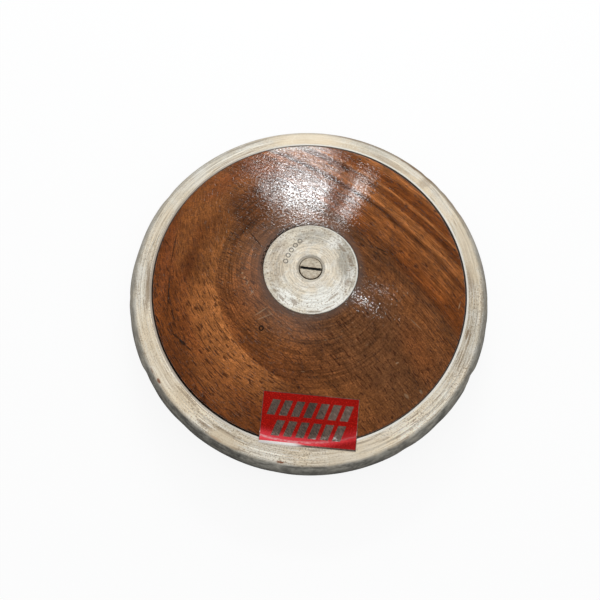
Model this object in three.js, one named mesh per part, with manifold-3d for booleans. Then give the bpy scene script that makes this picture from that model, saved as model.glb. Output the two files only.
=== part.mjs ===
// A throwing discus of the two kilogram class, built as the real one is: a steel rim whose inner tongue is
// closed between two turned hardwood sides, with a hub plate let into each side and one bolt through both.
// Millimetres, +Z up. The origin is the centre of the lower hub plate's face, and the label is towards -Y.

import * as THREE from 'three';
import { mergeVertices } from 'three/addons/utils/BufferGeometryUtils.js';
import Module from 'manifold-3d';

const wasm = await Module();
wasm.setup();

// Overall form. Both sides of the discus are alike, so heights are measured from its middle plane.
const outerRadius = 110;
const halfThickness = 22.5;
const edgeRadius = 6.25;
const rimWidth = 16;
const plateRadius = 26.6;

// Clearances
const fitGap = 0.3;
const shrinkageGap = 0.4;
const overrun = 1;

// Rim: a tongue runs round the bore, and the inner corners of both flanks are burnished to a narrow bevel
const tongueThickness = 4.5;
const tongueDepth = 7.5;
const tongueEdgeBreak = 0.5;
const bevelWidth = 0.9;
const bevelDrop = 0.35;

// Wood sides
const woodEdgeWidth = 0.6;
const woodEdgeDrop = 0.3;
const pocketRadius = 22;

// Pegs that key the wood to the rim through the tongue
const pegCount = 8;
const pegRadius = 2;
const pegLength = 12;
const pegEdgeBreak = 0.4;

// Hub plates: a flat disc with a boss below it, bored and countersunk for the bolt's head
const plateThickness = 3;
const plateEdgeBreak = 0.25;
const bossRadius = 12;
const bossDepth = 3;
const headSeatDepth = 4;
const sinkRadius = 8.3;

// Bolt and barrel nut: both have the same head, which lies a little below the plate's face
const headRadius = 6.33;
const headThickness = 3.2;
const headEdgeBreak = 0.35;
const slotWidth = 1.2;
const slotDepth = 1.4;
const boltSlotAngle = THREE.MathUtils.degToRad(-5);
const nutSlotAngle = THREE.MathUtils.degToRad(35);
const shoulderRadius = 5.3;
const shoulderLength = 8;
const shankRadius = 4;
const shankEdgeBreak = 0.8;
const shankEndGap = 1;
const barrelFloor = 3.5;
const takeUpGap = 2.5;

// Tube between the plates' bosses, and the balance washers round it
const tubeWall = 1.7;
const washersPerSide = 2;
const washerThickness = 4;

// Label: a foil sticker that follows the flank over the wood and the rim
const labelWidth = 51.4;
const labelHeight = 26.5;
const labelThickness = 0.2;
const labelOffset = 2;
const labelOverlap = 0.95;
const labelTilt = THREE.MathUtils.degToRad(-3.3);

// Facets
const ringSegments = 80;
const edgeSegments = 12;
const plateSegments = 48;
const boltSegments = 32;
const pegSegments = 12;
const labelColumns = 12;
const labelRows = 6;

// The flank is the straight line from the hub plate's edge that meets the rim's round edge as a tangent
const edgeCentre = outerRadius - edgeRadius;
const flankRun = edgeCentre - plateRadius;
const flankAngle = Math.atan2(halfThickness, flankRun)
  - Math.asin(edgeRadius / Math.hypot(flankRun, halfThickness));

function flankHeight(radius) {
  return halfThickness - (radius - plateRadius) * Math.tan(flankAngle);
}

// Places that more than one piece takes its size from
const rimBore = outerRadius - rimWidth;
const woodRadius = rimBore - shrinkageGap;
const tongueTop = tongueThickness / 2;
const tongueBore = rimBore - tongueDepth;
const pegCircle = (rimBore + tongueBore) / 2;
const plateUnderside = halfThickness - plateThickness;
const bossUnderside = plateUnderside - bossDepth;
const headSeat = halfThickness - headSeatDepth;
const headTop = headSeat + headThickness;
const shoulderEnd = headSeat - shoulderLength;
const barrelReach = shoulderEnd - takeUpGap;
const boreFloor = headSeat - barrelFloor;
const shankReach = boreFloor - shankEndGap;
const boltHoleRadius = shoulderRadius + fitGap;
const tubeRadius = boltHoleRadius + tubeWall;
const tubeHoleRadius = tubeRadius + fitGap;
const pocketFloor = bossUnderside - washersPerSide * washerThickness;

// A closed outline of [radius, height] pairs, listed with the outside on the right, turned about Z
function turned(outline, segments) {
  const first = outline[0];
  const points = [...outline, first].map(([radius, height]) => new THREE.Vector2(radius, height));
  const geometry = new THREE.LatheGeometry(points, segments);
  geometry.rotateX(Math.PI / 2);
  return geometry;
}

// A closed mesh as a solid that can be cut. Corners that meet on the axis leave empty triangles, which go.
function solidFrom(geometry) {
  const bare = geometry.clone();
  bare.deleteAttribute('normal');
  bare.deleteAttribute('uv');
  const merged = mergeVertices(bare);
  const index = merged.index.array;
  const corners = [];
  for (let i = 0; i < index.length; i += 3) {
    const [a, b, c] = index.slice(i, i + 3);
    if (a !== b && b !== c && c !== a) corners.push(a, b, c);
  }
  const vertProperties = new Float32Array(merged.getAttribute('position').array);
  const triVerts = new Uint32Array(corners);
  return new wasm.Manifold(new wasm.Mesh({ numProp: 3, vertProperties, triVerts }));
}

function geometryFrom(solid) {
  const { vertProperties, triVerts } = solid.getMesh();
  const geometry = new THREE.BufferGeometry();
  geometry.setAttribute('position', new THREE.BufferAttribute(vertProperties, 3));
  geometry.setIndex(new THREE.BufferAttribute(triVerts, 1));
  geometry.computeVertexNormals();
  return geometry;
}

function cutFrom(geometry, cutters) {
  let solid = solidFrom(geometry);
  for (const cutter of cutters) {
    solid = solid.subtract(solidFrom(cutter));
  }
  return geometryFrom(solid);
}

// The first peg is half a pitch from +X, so that the holes still line up when a side is turned over
function pegAngle(i) {
  return ((i + 1 / 2) / pegCount) * 2 * Math.PI;
}

// Upright drills on the peg circle, from one height to another
function pegDrills(bottom, top) {
  const drills = [];
  for (let i = 0; i < pegCount; i += 1) {
    const drill = new THREE.CylinderGeometry(pegRadius + fitGap, pegRadius + fitGap, top - bottom, pegSegments);
    drill.rotateX(Math.PI / 2);
    drill.translate(pegCircle, 0, (bottom + top) / 2);
    drill.rotateZ(pegAngle(i));
    drills.push(drill);
  }
  return drills;
}

function rimGeometry() {
  const flankStart = flankHeight(rimBore) - bevelDrop;
  const bevelEnd = rimBore + bevelWidth;
  const outline = [
    [tongueBore, -tongueTop + tongueEdgeBreak],
    [tongueBore + tongueEdgeBreak, -tongueTop],
    [rimBore, -tongueTop],
    [rimBore, -flankStart],
    [bevelEnd, -flankHeight(bevelEnd)],
  ];
  const edgeReach = Math.PI / 2 - flankAngle;
  for (let i = 0; i <= edgeSegments; i += 1) {
    const angle = edgeReach * (2 * (i / edgeSegments) - 1);
    outline.push([edgeCentre + edgeRadius * Math.cos(angle), edgeRadius * Math.sin(angle)]);
  }
  outline.push(
    [bevelEnd, flankHeight(bevelEnd)],
    [rimBore, flankStart],
    [rimBore, tongueTop],
    [tongueBore + tongueEdgeBreak, tongueTop],
    [tongueBore, tongueTop - tongueEdgeBreak],
  );
  return cutFrom(turned(outline, ringSegments), pegDrills(-tongueTop - overrun, tongueTop + overrun));
}

// One wood side: rebated for the tongue, recessed for the hub plate and pocketed for the washers
function woodSideGeometry() {
  const recessRadius = plateRadius + fitGap;
  const rebateRadius = tongueBore - fitGap;
  const edgeInner = woodRadius - woodEdgeWidth;
  const outline = [
    [tubeHoleRadius, 0],
    [rebateRadius, 0],
    [rebateRadius, tongueTop],
    [woodRadius, tongueTop],
    [woodRadius, flankHeight(woodRadius) - woodEdgeDrop],
    [edgeInner, flankHeight(edgeInner)],
    [recessRadius, flankHeight(recessRadius)],
    [recessRadius, plateUnderside],
    [pocketRadius, plateUnderside],
    [pocketRadius, pocketFloor],
    [tubeHoleRadius, pocketFloor],
  ];
  return cutFrom(turned(outline, ringSegments), pegDrills(tongueTop - overrun, pegLength / 2 + fitGap));
}

function hubPlateGeometry() {
  const headHoleRadius = headRadius + fitGap;
  return turned([
    [boltHoleRadius, bossUnderside],
    [bossRadius, bossUnderside],
    [bossRadius, plateUnderside],
    [plateRadius, plateUnderside],
    [plateRadius, halfThickness - plateEdgeBreak],
    [plateRadius - plateEdgeBreak, halfThickness],
    [sinkRadius, halfThickness],
    [headHoleRadius, halfThickness - (sinkRadius - headHoleRadius)],
    [headHoleRadius, headSeat],
    [boltHoleRadius, headSeat],
  ], plateSegments);
}

function slotCutter(angle) {
  const slot = new THREE.BoxGeometry(2 * (headRadius + overrun), slotWidth, slotDepth + overrun);
  slot.translate(0, 0, headTop - slotDepth + (slotDepth + overrun) / 2);
  slot.rotateZ(angle);
  return slot;
}

// The outline of the head that the bolt and the nut share, from its seat up to the axis
function headOutline() {
  return [
    [headRadius, headSeat],
    [headRadius, headTop - headEdgeBreak],
    [headRadius - headEdgeBreak, headTop],
    [0, headTop],
  ];
}

function boltGeometry() {
  const bolt = turned([
    [0, -shankReach],
    [shankRadius - shankEdgeBreak, -shankReach],
    [shankRadius, -shankReach + shankEdgeBreak],
    [shankRadius, shoulderEnd],
    [shoulderRadius, shoulderEnd],
    [shoulderRadius, headSeat],
    ...headOutline(),
  ], boltSegments);
  return cutFrom(bolt, [slotCutter(boltSlotAngle)]);
}

// Drawn like the bolt, with its head up: it is turned over with the lower side
function barrelNutGeometry() {
  const boreRadius = shankRadius + fitGap;
  const nut = turned([
    [0, boreFloor],
    [boreRadius, boreFloor],
    [boreRadius, -barrelReach],
    [shoulderRadius, -barrelReach],
    [shoulderRadius, headSeat],
    ...headOutline(),
  ], boltSegments);
  return cutFrom(nut, [slotCutter(nutSlotAngle)]);
}

function hubTubeGeometry() {
  return turned([
    [boltHoleRadius, -bossUnderside],
    [tubeRadius, -bossUnderside],
    [tubeRadius, bossUnderside],
    [boltHoleRadius, bossUnderside],
  ], boltSegments);
}

function balanceWasherGeometry() {
  const washerRadius = pocketRadius - fitGap;
  return turned([
    [tubeHoleRadius, 0],
    [washerRadius, 0],
    [washerRadius, washerThickness],
    [tubeHoleRadius, washerThickness],
  ], boltSegments);
}

function pegGeometry() {
  const halfLength = pegLength / 2;
  return turned([
    [0, -halfLength],
    [pegRadius - pegEdgeBreak, -halfLength],
    [pegRadius, -halfLength + pegEdgeBreak],
    [pegRadius, halfLength - pegEdgeBreak],
    [pegRadius - pegEdgeBreak, halfLength],
    [0, halfLength],
  ], pegSegments);
}

// A flat sheet laid out in plan, its outer edge a little way onto the rim, then bent down onto the flank
function labelGeometry() {
  const distance = rimBore + labelOverlap - labelHeight / 2;
  const sheet = new THREE.BoxGeometry(labelWidth, labelHeight, labelThickness, labelColumns, labelRows, 1);
  sheet.rotateZ(labelTilt);
  sheet.translate(labelOffset, -distance, labelThickness / 2 + fitGap);
  const position = sheet.getAttribute('position');
  for (let i = 0; i < position.count; i += 1) {
    const radius = Math.hypot(position.getX(i), position.getY(i));
    position.setZ(i, position.getZ(i) + flankHeight(radius));
  }
  return sheet;
}

const steel = () => new THREE.MeshStandardMaterial({ color: 0xb4aa96, roughness: 0.45, metalness: 0.9 });
const dullSteel = () => new THREE.MeshStandardMaterial({ color: 0x8a8780, roughness: 0.55, metalness: 0.9 });
const hardwood = () => new THREE.MeshStandardMaterial({ color: 0x74482a, roughness: 0.4, metalness: 0 });
const pegWood = () => new THREE.MeshStandardMaterial({ color: 0xb08a5a, roughness: 0.7, metalness: 0 });
const redFoil = () => new THREE.MeshStandardMaterial({ color: 0xa01a12, roughness: 0.25, metalness: 0.6 });

function piece(name, geometry, material) {
  const mesh = new THREE.Mesh(geometry, material);
  mesh.name = name;
  return mesh;
}

// A wood side with what is let into it, its face up
function sideAssembly(side) {
  const group = new THREE.Group();
  group.add(piece(`${side}_wood_side`, woodSideGeometry(), hardwood()));
  group.add(piece(`${side}_hub_plate`, hubPlateGeometry(), steel()));
  for (let i = 0; i < washersPerSide; i += 1) {
    const washer = piece(`${side}_balance_washer_${i + 1}`, balanceWasherGeometry(), dullSteel());
    washer.position.z = pocketFloor + i * washerThickness;
    group.add(washer);
  }
  return group;
}

const discus = new THREE.Group();
discus.position.z = halfThickness;
discus.add(piece('rim', rimGeometry(), steel()));
discus.add(piece('hub_tube', hubTubeGeometry(), dullSteel()));

const upperSide = sideAssembly('upper');
upperSide.add(piece('centre_bolt', boltGeometry(), steel()));
upperSide.add(piece('label_foil', labelGeometry(), redFoil()));
discus.add(upperSide);

const lowerSide = sideAssembly('lower');
lowerSide.add(piece('barrel_nut', barrelNutGeometry(), steel()));
lowerSide.rotation.x = Math.PI;
discus.add(lowerSide);

for (let i = 0; i < pegCount; i += 1) {
  const peg = piece(`rim_peg_${i + 1}`, pegGeometry(), pegWood());
  peg.position.set(pegCircle * Math.cos(pegAngle(i)), pegCircle * Math.sin(pegAngle(i)), 0);
  peg.rotation.z = pegAngle(i);
  discus.add(peg);
}

export default discus;
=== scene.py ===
"""A worn two kilogram throwing discus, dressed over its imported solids."""

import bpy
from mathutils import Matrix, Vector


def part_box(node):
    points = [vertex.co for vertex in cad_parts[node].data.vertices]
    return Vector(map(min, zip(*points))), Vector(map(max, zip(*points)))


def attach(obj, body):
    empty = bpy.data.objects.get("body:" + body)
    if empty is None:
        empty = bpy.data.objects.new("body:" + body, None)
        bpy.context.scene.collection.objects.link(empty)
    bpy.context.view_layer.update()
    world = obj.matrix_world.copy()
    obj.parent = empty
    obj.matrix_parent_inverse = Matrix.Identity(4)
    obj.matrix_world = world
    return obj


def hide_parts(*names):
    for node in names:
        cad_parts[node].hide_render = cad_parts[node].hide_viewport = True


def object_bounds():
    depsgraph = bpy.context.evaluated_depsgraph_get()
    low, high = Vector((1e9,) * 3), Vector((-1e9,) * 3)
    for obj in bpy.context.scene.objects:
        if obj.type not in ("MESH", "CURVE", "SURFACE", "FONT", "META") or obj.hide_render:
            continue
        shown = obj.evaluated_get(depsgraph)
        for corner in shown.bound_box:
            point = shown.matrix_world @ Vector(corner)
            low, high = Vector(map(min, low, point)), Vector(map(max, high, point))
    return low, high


bl_info = {
    "name": "Worn discus",
    "version": (1, 0, 0),
    "blender": (4, 5, 0),
    "location": "View3D > Sidebar > Discus",
    "description": "Builds the finish of a steel-rimmed hardwood discus over its solids",
    "category": "Add Mesh",
}

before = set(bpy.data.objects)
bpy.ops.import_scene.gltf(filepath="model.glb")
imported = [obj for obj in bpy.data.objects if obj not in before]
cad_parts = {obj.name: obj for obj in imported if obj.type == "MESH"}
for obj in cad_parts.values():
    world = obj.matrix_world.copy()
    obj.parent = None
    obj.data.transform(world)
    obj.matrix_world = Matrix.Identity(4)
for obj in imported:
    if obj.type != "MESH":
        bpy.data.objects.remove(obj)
CAD_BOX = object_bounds()

import math

import bpy
import numpy as np
from bpy.props import FloatProperty, FloatVectorProperty, PointerProperty
from mathutils import Matrix, Vector

BODY = "root"
MM = 0.001
SIDES = ("upper", "lower")

# The gap all round between a turned hole and what sits in it
TURNED_FIT = 0.3 * MM


# Sizes and colours

def box_radius(node):
    """The outer radius of a turned CAD node, from its box."""
    low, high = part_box(node)
    return (high[0] - low[0]) / 2


def linear(value):
    """One part of a colour, given in 0 to 255, as Blender's linear value."""
    share = value / 255
    if share <= 0.04045:
        return share / 12.92
    return ((share + 0.055) / 1.055) ** 2.4


def length(name, description, default):
    return FloatProperty(name=name, description=description, default=default, unit="LENGTH", min=0)


def colour(name, description, *parts):
    shade = [linear(part) for part in parts]
    return FloatVectorProperty(
        name=name, description=description, default=shade, subtype="COLOR", size=3, min=0, max=1
    )


class DiscusSizes(bpy.types.PropertyGroup):
    """The sizes that the pieces are turned to."""

    rim_radius: length("Rim radius", "Outer radius of the rim", box_radius("rim"))
    rim_width: length("Rim width", "Radial width of the rim without its tongue", 16 * MM)
    edge_radius: length("Edge radius", "Radius of the rim's round outer edge", 6.25 * MM)
    tongue_depth: length("Tongue depth", "How far the tongue reaches in from the rim's bore", 7.5 * MM)
    tongue_thickness: length("Tongue thickness", "Thickness of the tongue", 4.5 * MM)
    bevel_width: length("Bevel width", "Width of the burnished inner corner of the rim", MM)
    bevel_drop: length("Bevel drop", "Height of the burnished inner corner", 0.4 * MM)
    wood_radius: length("Wood radius", "Radius of the wood sides", box_radius("upper_wood_side"))
    shrinkage: length("Shrinkage", "How much the wood has shrunk across its grain", 0.55 * MM)
    sideways: length("Sideways gap", "How much wider the gap is on the right than on the left", 0.35 * MM)
    pocket_radius: length("Pocket radius", "Radius of the washers' pocket", 22 * MM)
    half_thickness: length("Half thickness", "Middle plane to a hub plate's face", CAD_BOX[1].z / 2)
    plate_radius: length("Plate radius", "Radius of the hub plates", box_radius("upper_hub_plate"))
    plate_thickness: length("Plate thickness", "Thickness of the hub plates at their edge", 3 * MM)
    boss_radius: length("Boss radius", "Radius of the boss below a hub plate", 12 * MM)
    boss_depth: length("Boss depth", "Height of the boss below a hub plate", 3 * MM)
    sink_radius: length("Countersink radius", "Outer radius of the countersink", 8.3 * MM)
    seat_depth: length("Seat depth", "Plate face down to the seat of the bolt's head", 4 * MM)
    head_radius: length("Head radius", "Radius of the bolt's and the nut's head", 6.33 * MM)
    head_thickness: length("Head thickness", "Thickness of the bolt's and the nut's head", 3.2 * MM)
    slot_width: length("Slot width", "Width of the slots in the heads", 1.6 * MM)
    slot_depth: length("Slot depth", "Depth of the slots in the heads", 1.4 * MM)
    shoulder_radius: length("Shoulder radius", "Radius of the bolt's shoulder and nut's barrel", 5.3 * MM)
    shank_radius: length("Shank radius", "Radius of the bolt's threaded shank", 4 * MM)
    label_width: length("Label width", "Long side of the label", 51.4 * MM)
    label_height: length("Label height", "Short side of the label", 26.5 * MM)


class DiscusColours(bpy.types.PropertyGroup):
    """The colours that the finishes are mixed from."""

    steel: colour("Steel", "Dull weathered steel", 228, 217, 196)
    steel_pale: colour("Pale steel", "Whitish bloom on the steel", 246, 243, 234)
    steel_warm: colour("Warm steel", "Yellowed steel", 236, 216, 184)
    # Its dark grey on the rim's edge is partly painted shade.
    steel_grey: colour("Grey steel", "Bare grey steel on the worn edge", 138, 135, 126)
    # Also laid as painted shade round the bolt's head.
    grime: colour("Grime", "Brown dirt held in the grooves", 136, 108, 78)
    rust: colour("Rust", "Rust spots", 140, 76, 30)
    # Also used as painted shade in the gaps at the rim's bore, the bolt's hole and the bolt's slot.
    gap: colour("Gap", "Dirt in gaps and cracks", 26, 19, 13)
    wood: colour("Wood", "The board's main brown", 128, 70, 30)
    wood_pale: colour("Pale wood", "The lighter wood on the left", 163, 101, 54)
    wood_dark: colour("Dark wood", "The dark growth streaks", 66, 34, 16)
    wood_red: colour("Red wood", "Reddish streaks", 140, 77, 42)
    wood_inner: colour("Inner wood", "The greyer wood near the hub", 115, 73, 43)
    turned_nick: colour("Turned nick", "Pale marks that the turning tool left", 166, 132, 100)
    scratch: colour("Scratch", "Scratches and chips in the varnish", 188, 158, 124)
    haze: colour("Haze", "Dull varnish round the hub", 142, 120, 108)
    hub_dirt: colour("Hub dirt", "Grey dirt close to the hub plate", 96, 82, 75)
    # A painted highlight, laid near the wood's back edge.
    edge_glare: colour("Varnish run", "The bright run of varnish at the wood's edge", 228, 222, 214)
    foil: colour("Foil", "The label's red foil", 222, 26, 12)
    foil_print: colour("Foil print", "Bare silver of the foil", 156, 133, 120)
    # Painted highlights on the foil: its bend over the rim, the crease line, bright flecks and the white
    # line along its low edge.
    foil_bend_highlight: colour("Foil bend", "The red where the foil bends over the rim", 252, 74, 88)
    foil_crease_highlight: colour("Foil crease", "The pale line in the foil's bend", 255, 176, 180)
    foil_glint: colour("Foil fleck", "Bright flecks in the bent silver", 244, 238, 232)
    foil_edge_highlight: colour("Foil backing", "The white backing at the foil's low edge", 252, 246, 242)
    inner_steel: colour("Inner steel", "Oily steel inside", 118, 114, 106)
    peg: colour("Peg wood", "The pale wood of the pegs", 176, 138, 90)


def sizes():
    return bpy.context.scene.discus_sizes


def colours():
    return bpy.context.scene.discus_colours


def scaled(shade, factor):
    return tuple(min(1.0, part * factor) for part in shade)


def between(first, second, share):
    return tuple(a + (b - a) * share for a, b in zip(first, second))


def rim_bore():
    return sizes().rim_radius - sizes().rim_width


def edge_centre():
    return sizes().rim_radius - sizes().edge_radius


def flank_angle():
    """The slope of the straight flank, which meets the rim's round edge as a tangent."""
    run = edge_centre() - sizes().plate_radius
    rise = sizes().half_thickness
    return math.atan2(rise, run) - math.asin(sizes().edge_radius / math.hypot(run, rise))


def flank_height(radius):
    """The flank's height over the middle plane."""
    return sizes().half_thickness - (radius - sizes().plate_radius) * math.tan(flank_angle())


# Meshes

# The widest angle between two faces that is still shaded smooth
SMOOTH_ANGLE = 32


def refined(outline, step):
    """The same outline with no stretch longer than the step."""
    points = []
    for (r0, z0), (r1, z1) in zip(outline, outline[1:]):
        parts = max(1, math.ceil(math.hypot(r1 - r0, z1 - z0) / step))
        points += [(r0 + (r1 - r0) * i / parts, z0 + (z1 - z0) * i / parts) for i in range(parts)]
    return points + [outline[-1]]


def turned_piece(name, outline, turns, wear=None, side="upper"):
    """Turns a closed outline of (radius, height) about Z. Heights start at the middle plane.

    An outline that starts and ends on the axis is closed there by its two end points.
    """
    radii, heights = np.array(outline).T
    on_axis = radii < 1e-9
    azimuths = np.arange(turns) * 2 * math.pi / turns
    radius, azimuth = np.meshgrid(radii, azimuths, indexing="ij")
    height = np.meshgrid(heights, azimuths, indexing="ij")[0]
    if wear:
        radius, height = wear(radius, height, azimuth)
        radius[on_axis] = 0
    points = np.stack([radius * np.cos(azimuth), radius * np.sin(azimuth), height], axis=-1)
    if side == "lower":
        points *= (1, -1, -1)
    points[..., 2] += sizes().half_thickness
    index = np.arange(len(radii) * turns).reshape(len(radii), turns)
    index[on_axis] = index[on_axis][:, :1]
    rows = len(radii) - on_axis.any()
    faces = []
    for i in range(rows):
        j = (i + 1) % len(radii)
        for k in range(turns):
            m = (k + 1) % turns
            corners = [index[i, k], index[i, m], index[j, m], index[j, k]]
            face = list(dict.fromkeys(int(c) for c in corners))
            if len(face) > 2:
                faces.append(face)
    return piece(name, points.reshape(-1, 3), faces)


def piece(name, points, faces):
    """A smooth mesh object without loose points, which rides on the body."""
    used = sorted({c for face in faces for c in face})
    place = {old: new for new, old in enumerate(used)}
    corners = [tuple(points[i]) for i in used]
    mesh = bpy.data.meshes.new(name)
    mesh.from_pydata(corners, [], [[place[c] for c in face] for face in faces])
    smooth(mesh)
    mesh.validate()
    made = placed(name, mesh)
    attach(made, BODY)
    return made


def smooth(mesh):
    """Shades a mesh smooth between its sharp edges."""
    mesh.polygons.foreach_set("use_smooth", [True] * len(mesh.polygons))
    mesh.set_sharp_from_angle(angle=math.radians(SMOOTH_ANGLE))


def placed(name, data):
    """Puts a mesh, a lamp or a camera into the scene."""
    made = bpy.data.objects.new(name, data)
    bpy.context.scene.collection.objects.link(made)
    return made


def turn_from(azimuth, degrees):
    """How far each azimuth lies from a direction, in degrees, between -180 and 180."""
    away = np.degrees(azimuth) - degrees
    return (away + 180) % 360 - 180


def ripple(place, seed, count=5):
    """A smooth wave between about -1 and 1 that never repeats in step."""
    total = 0
    for k in range(1, count + 1):
        total = total + np.sin(place * (0.61 + 0.77 * k) + 2.39 * k * seed + 1.7 * seed) / k
    return total / 2


# Finishes

# The first of the two inputs that a mix node blends, and its output, for numbers and for colours
MIX_SOCKETS = {"FLOAT": (2, 0), "RGBA": (6, 2)}


class Nodes:
    """A node tree. Each call adds nodes and returns the socket that comes out of them."""

    def __init__(self, tree):
        self.tree = tree

    def node(self, kind, **settings):
        made = self.tree.nodes.new(kind)
        for key, value in settings.items():
            setattr(made, key, value)
        return made

    def feed(self, socket, value):
        if isinstance(value, bpy.types.NodeSocket):
            self.tree.links.new(value, socket)
        elif socket.type == "RGBA" and len(value) == 3:
            socket.default_value = (*value, 1)
        else:
            socket.default_value = value

    def fill(self, made, *in_order, **by_name):
        """Feeds a node's inputs. Underscores stand for the spaces in their names."""
        for socket, value in zip(made.inputs, in_order):
            self.feed(socket, value)
        for key, value in by_name.items():
            self.feed(made.inputs[key.replace("_", " ")], value)
        return made

    def math(self, operation, *values):
        return self.fill(self.node("ShaderNodeMath", operation=operation), *values).outputs[0]

    def chain(self, operation, first, *others):
        for other in others:
            first = self.math(operation, first, other)
        return first

    def add(self, *values):
        return self.chain("ADD", *values)

    def times(self, *values):
        return self.chain("MULTIPLY", *values)

    def larger(self, first, second):
        return self.math("MAXIMUM", first, second)

    def vector(self, operation, *values):
        made = self.fill(self.node("ShaderNodeVectorMath", operation=operation), *values)
        return made.outputs["Value" if operation in ("LENGTH", "DISTANCE") else "Vector"]

    def split(self, vector):
        return self.fill(self.node("ShaderNodeSeparateXYZ"), vector).outputs

    def join(self, x, y, z=0):
        return self.fill(self.node("ShaderNodeCombineXYZ"), x, y, z).outputs[0]

    def fade(self, value, start, end, low=0, high=1):
        """Goes smoothly from low at the start to high at the end."""
        made = self.node("ShaderNodeMapRange", interpolation_type="SMOOTHSTEP")
        return self.fill(made, value, start, end, low, high).outputs[0]

    def mix(self, factor, below, above, kind="RGBA"):
        """Blends two colours, or two numbers where the kind is FLOAT."""
        made = self.node("ShaderNodeMix", data_type=kind)
        first, out = MIX_SOCKETS[kind]
        for index, value in ((0, factor), (first, below), (first + 1, above)):
            self.feed(made.inputs[index], value)
        return made.outputs[out]

    def shader(self, kind, *in_order, **by_name):
        return self.fill(self.node("ShaderNode" + kind), *in_order, **by_name).outputs[0]


class Finish(Nodes):
    """The material of a piece. Places are in millimetres, and a shift moves all of its noise."""

    def __init__(self, name, shift=0):
        self.material = bpy.data.materials.new(name)
        self.material.use_nodes = True
        super().__init__(self.material.node_tree)
        self.surface = self.tree.nodes["Principled BSDF"]
        self.shift = shift
        place = self.node("ShaderNodeTexCoord").outputs["Object"]
        self.place = self.vector("MULTIPLY", place, (1 / MM, 1 / MM, 1 / MM))
        self.x, self.y, self.z = self.split(self.place)
        self.flat = self.join(self.x, self.y)
        self.radius = self.vector("LENGTH", self.flat)

    def stretched(self, x, y, z):
        return self.vector("MULTIPLY", self.place, (x, y, z))

    def distance(self, x, y):
        """How far a place lies from a point, seen along the axis."""
        return self.vector("DISTANCE", self.flat, (x, y, 0))

    def noise(self, size, detail=2, roughness=0.5, shift=0, place=None):
        """Cloudy noise from 0 to 1, whose features are about the size across."""
        place = place or self.place
        shift += self.shift
        if shift:
            place = self.vector("ADD", place, (shift, 1.7 * shift, 0.6 * shift))
        made = self.node("ShaderNodeTexNoise")
        self.fill(made, Vector=place, Scale=1 / size, Detail=detail, Roughness=roughness)
        return made.outputs[0]

    def sway(self, size, reach, detail=2, shift=0, roughness=0.5):
        """Noise that goes to both sides of 0, at most by half of the reach."""
        return self.times(self.add(self.noise(size, detail, roughness, shift), -0.5), reach)

    def band(self, value, low, high, soft):
        """1 between low and high, 0 outside, with soft edges."""
        rise = self.fade(value, low - soft, low + soft)
        fall = self.fade(value, high + soft, high - soft)
        return self.times(rise, fall)

    def ramp(self, value, low, high, stops):
        """Colours at places between low and high along a value."""
        share = self.fill(self.node("ShaderNodeMapRange"), value, low, high)
        made = self.node("ShaderNodeValToRGB")
        elements = made.color_ramp.elements
        while len(elements) < len(stops):
            elements.new(1)
        for element, (place, shade) in zip(elements, stops):
            element.position = (place - low) / (high - low)
            element.color = (*shade, 1)
        return self.fill(made, share.outputs[0]).outputs[0]

    def swirl(self, centre, radius, length, width):
        """A place for noise whose features lie along circles round a centre.

        At the given radius a feature has the length and the width, in millimetres.
        """
        away = self.vector("SUBTRACT", self.flat, (*centre, 0))
        reach = self.vector("LENGTH", away)
        x, y, unused = self.split(self.vector("NORMALIZE", away))
        turn = radius / length
        return self.join(self.times(x, turn), self.times(y, turn), self.times(reach, 1 / width))

    def rings(self, length, width, detail=2, shift=0):
        """Noise drawn out round the axis into marks of a length and a width."""
        return self.noise(1, detail, 0.55, shift, self.swirl((0, 0), 60, length, width))

    def shaded(self, tone, value, low, high, depth):
        """Darkens and lightens a tone by up to a share, where a value goes from low to high."""
        factor = self.fade(value, low, high, 1 - depth, 1 + depth)
        made = self.node("ShaderNodeVectorMath", operation="SCALE")
        return self.fill(made, Vector=tone, Scale=factor).outputs["Vector"]

    def lighter(self, tone, share):
        """Leaves a tone at 0, and takes it smoothly to black at -1 and to twice as light at 1."""
        return self.shaded(tone, share, -1, 1, 1)

    def swing(self, value):
        """Noise from 0 to 1 made into a swing between -1 and 1."""
        return self.fade(value, 0.32, 0.68, -1, 1)

    def turned(self, vector, degrees):
        """A vector turned back about the axis by an angle."""
        made = self.node("ShaderNodeVectorRotate", rotation_type="Z_AXIS")
        return self.fill(made, Vector=vector, Angle=-math.radians(degrees)).outputs[0]

    def spot(self, x, y, length, width, degrees, soft, ragged):
        """1 inside an oval at a place, fading to 0 at its edge. Its sizes are half sizes."""
        away = self.turned(self.vector("SUBTRACT", self.flat, (x, y, 0)), degrees)
        reach = self.vector("LENGTH", self.vector("MULTIPLY", away, (1 / length, 1 / width, 0)))
        if ragged:
            reach = self.add(reach, self.sway(max(1.2, min(length, width) * 0.7), ragged, 3))
        return self.fade(reach, 1 + soft / 2, 1 - soft / 2)

    def spots(self, tone, rows, soft, ragged, shade=None):
        """Lays the ovals of a table over a tone, each in its row's shade or all in the same one."""
        for x, y, long_by, wide_by, degrees, *own, weight in rows:
            if own:
                name, factor = own
                shade = scaled(getattr(colours(), name), factor)
            oval = self.spot(x, y, long_by, wide_by, degrees, soft, ragged)
            tone = self.mix(self.times(oval, weight), tone, shade)
        return tone

    def sector(self, degrees, half, soft):
        """1 within an angle of a direction from the axis, fading to 0 outside."""
        turn = math.radians(degrees)
        unit = self.vector("NORMALIZE", self.flat)
        facing = self.vector("DISTANCE", unit, (math.cos(turn), math.sin(turn), 0))
        reach = 2 * math.sin(math.radians(half) / 2)
        edge = 2 * math.sin(math.radians(half + soft) / 2)
        return self.fade(facing, edge, reach)

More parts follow.
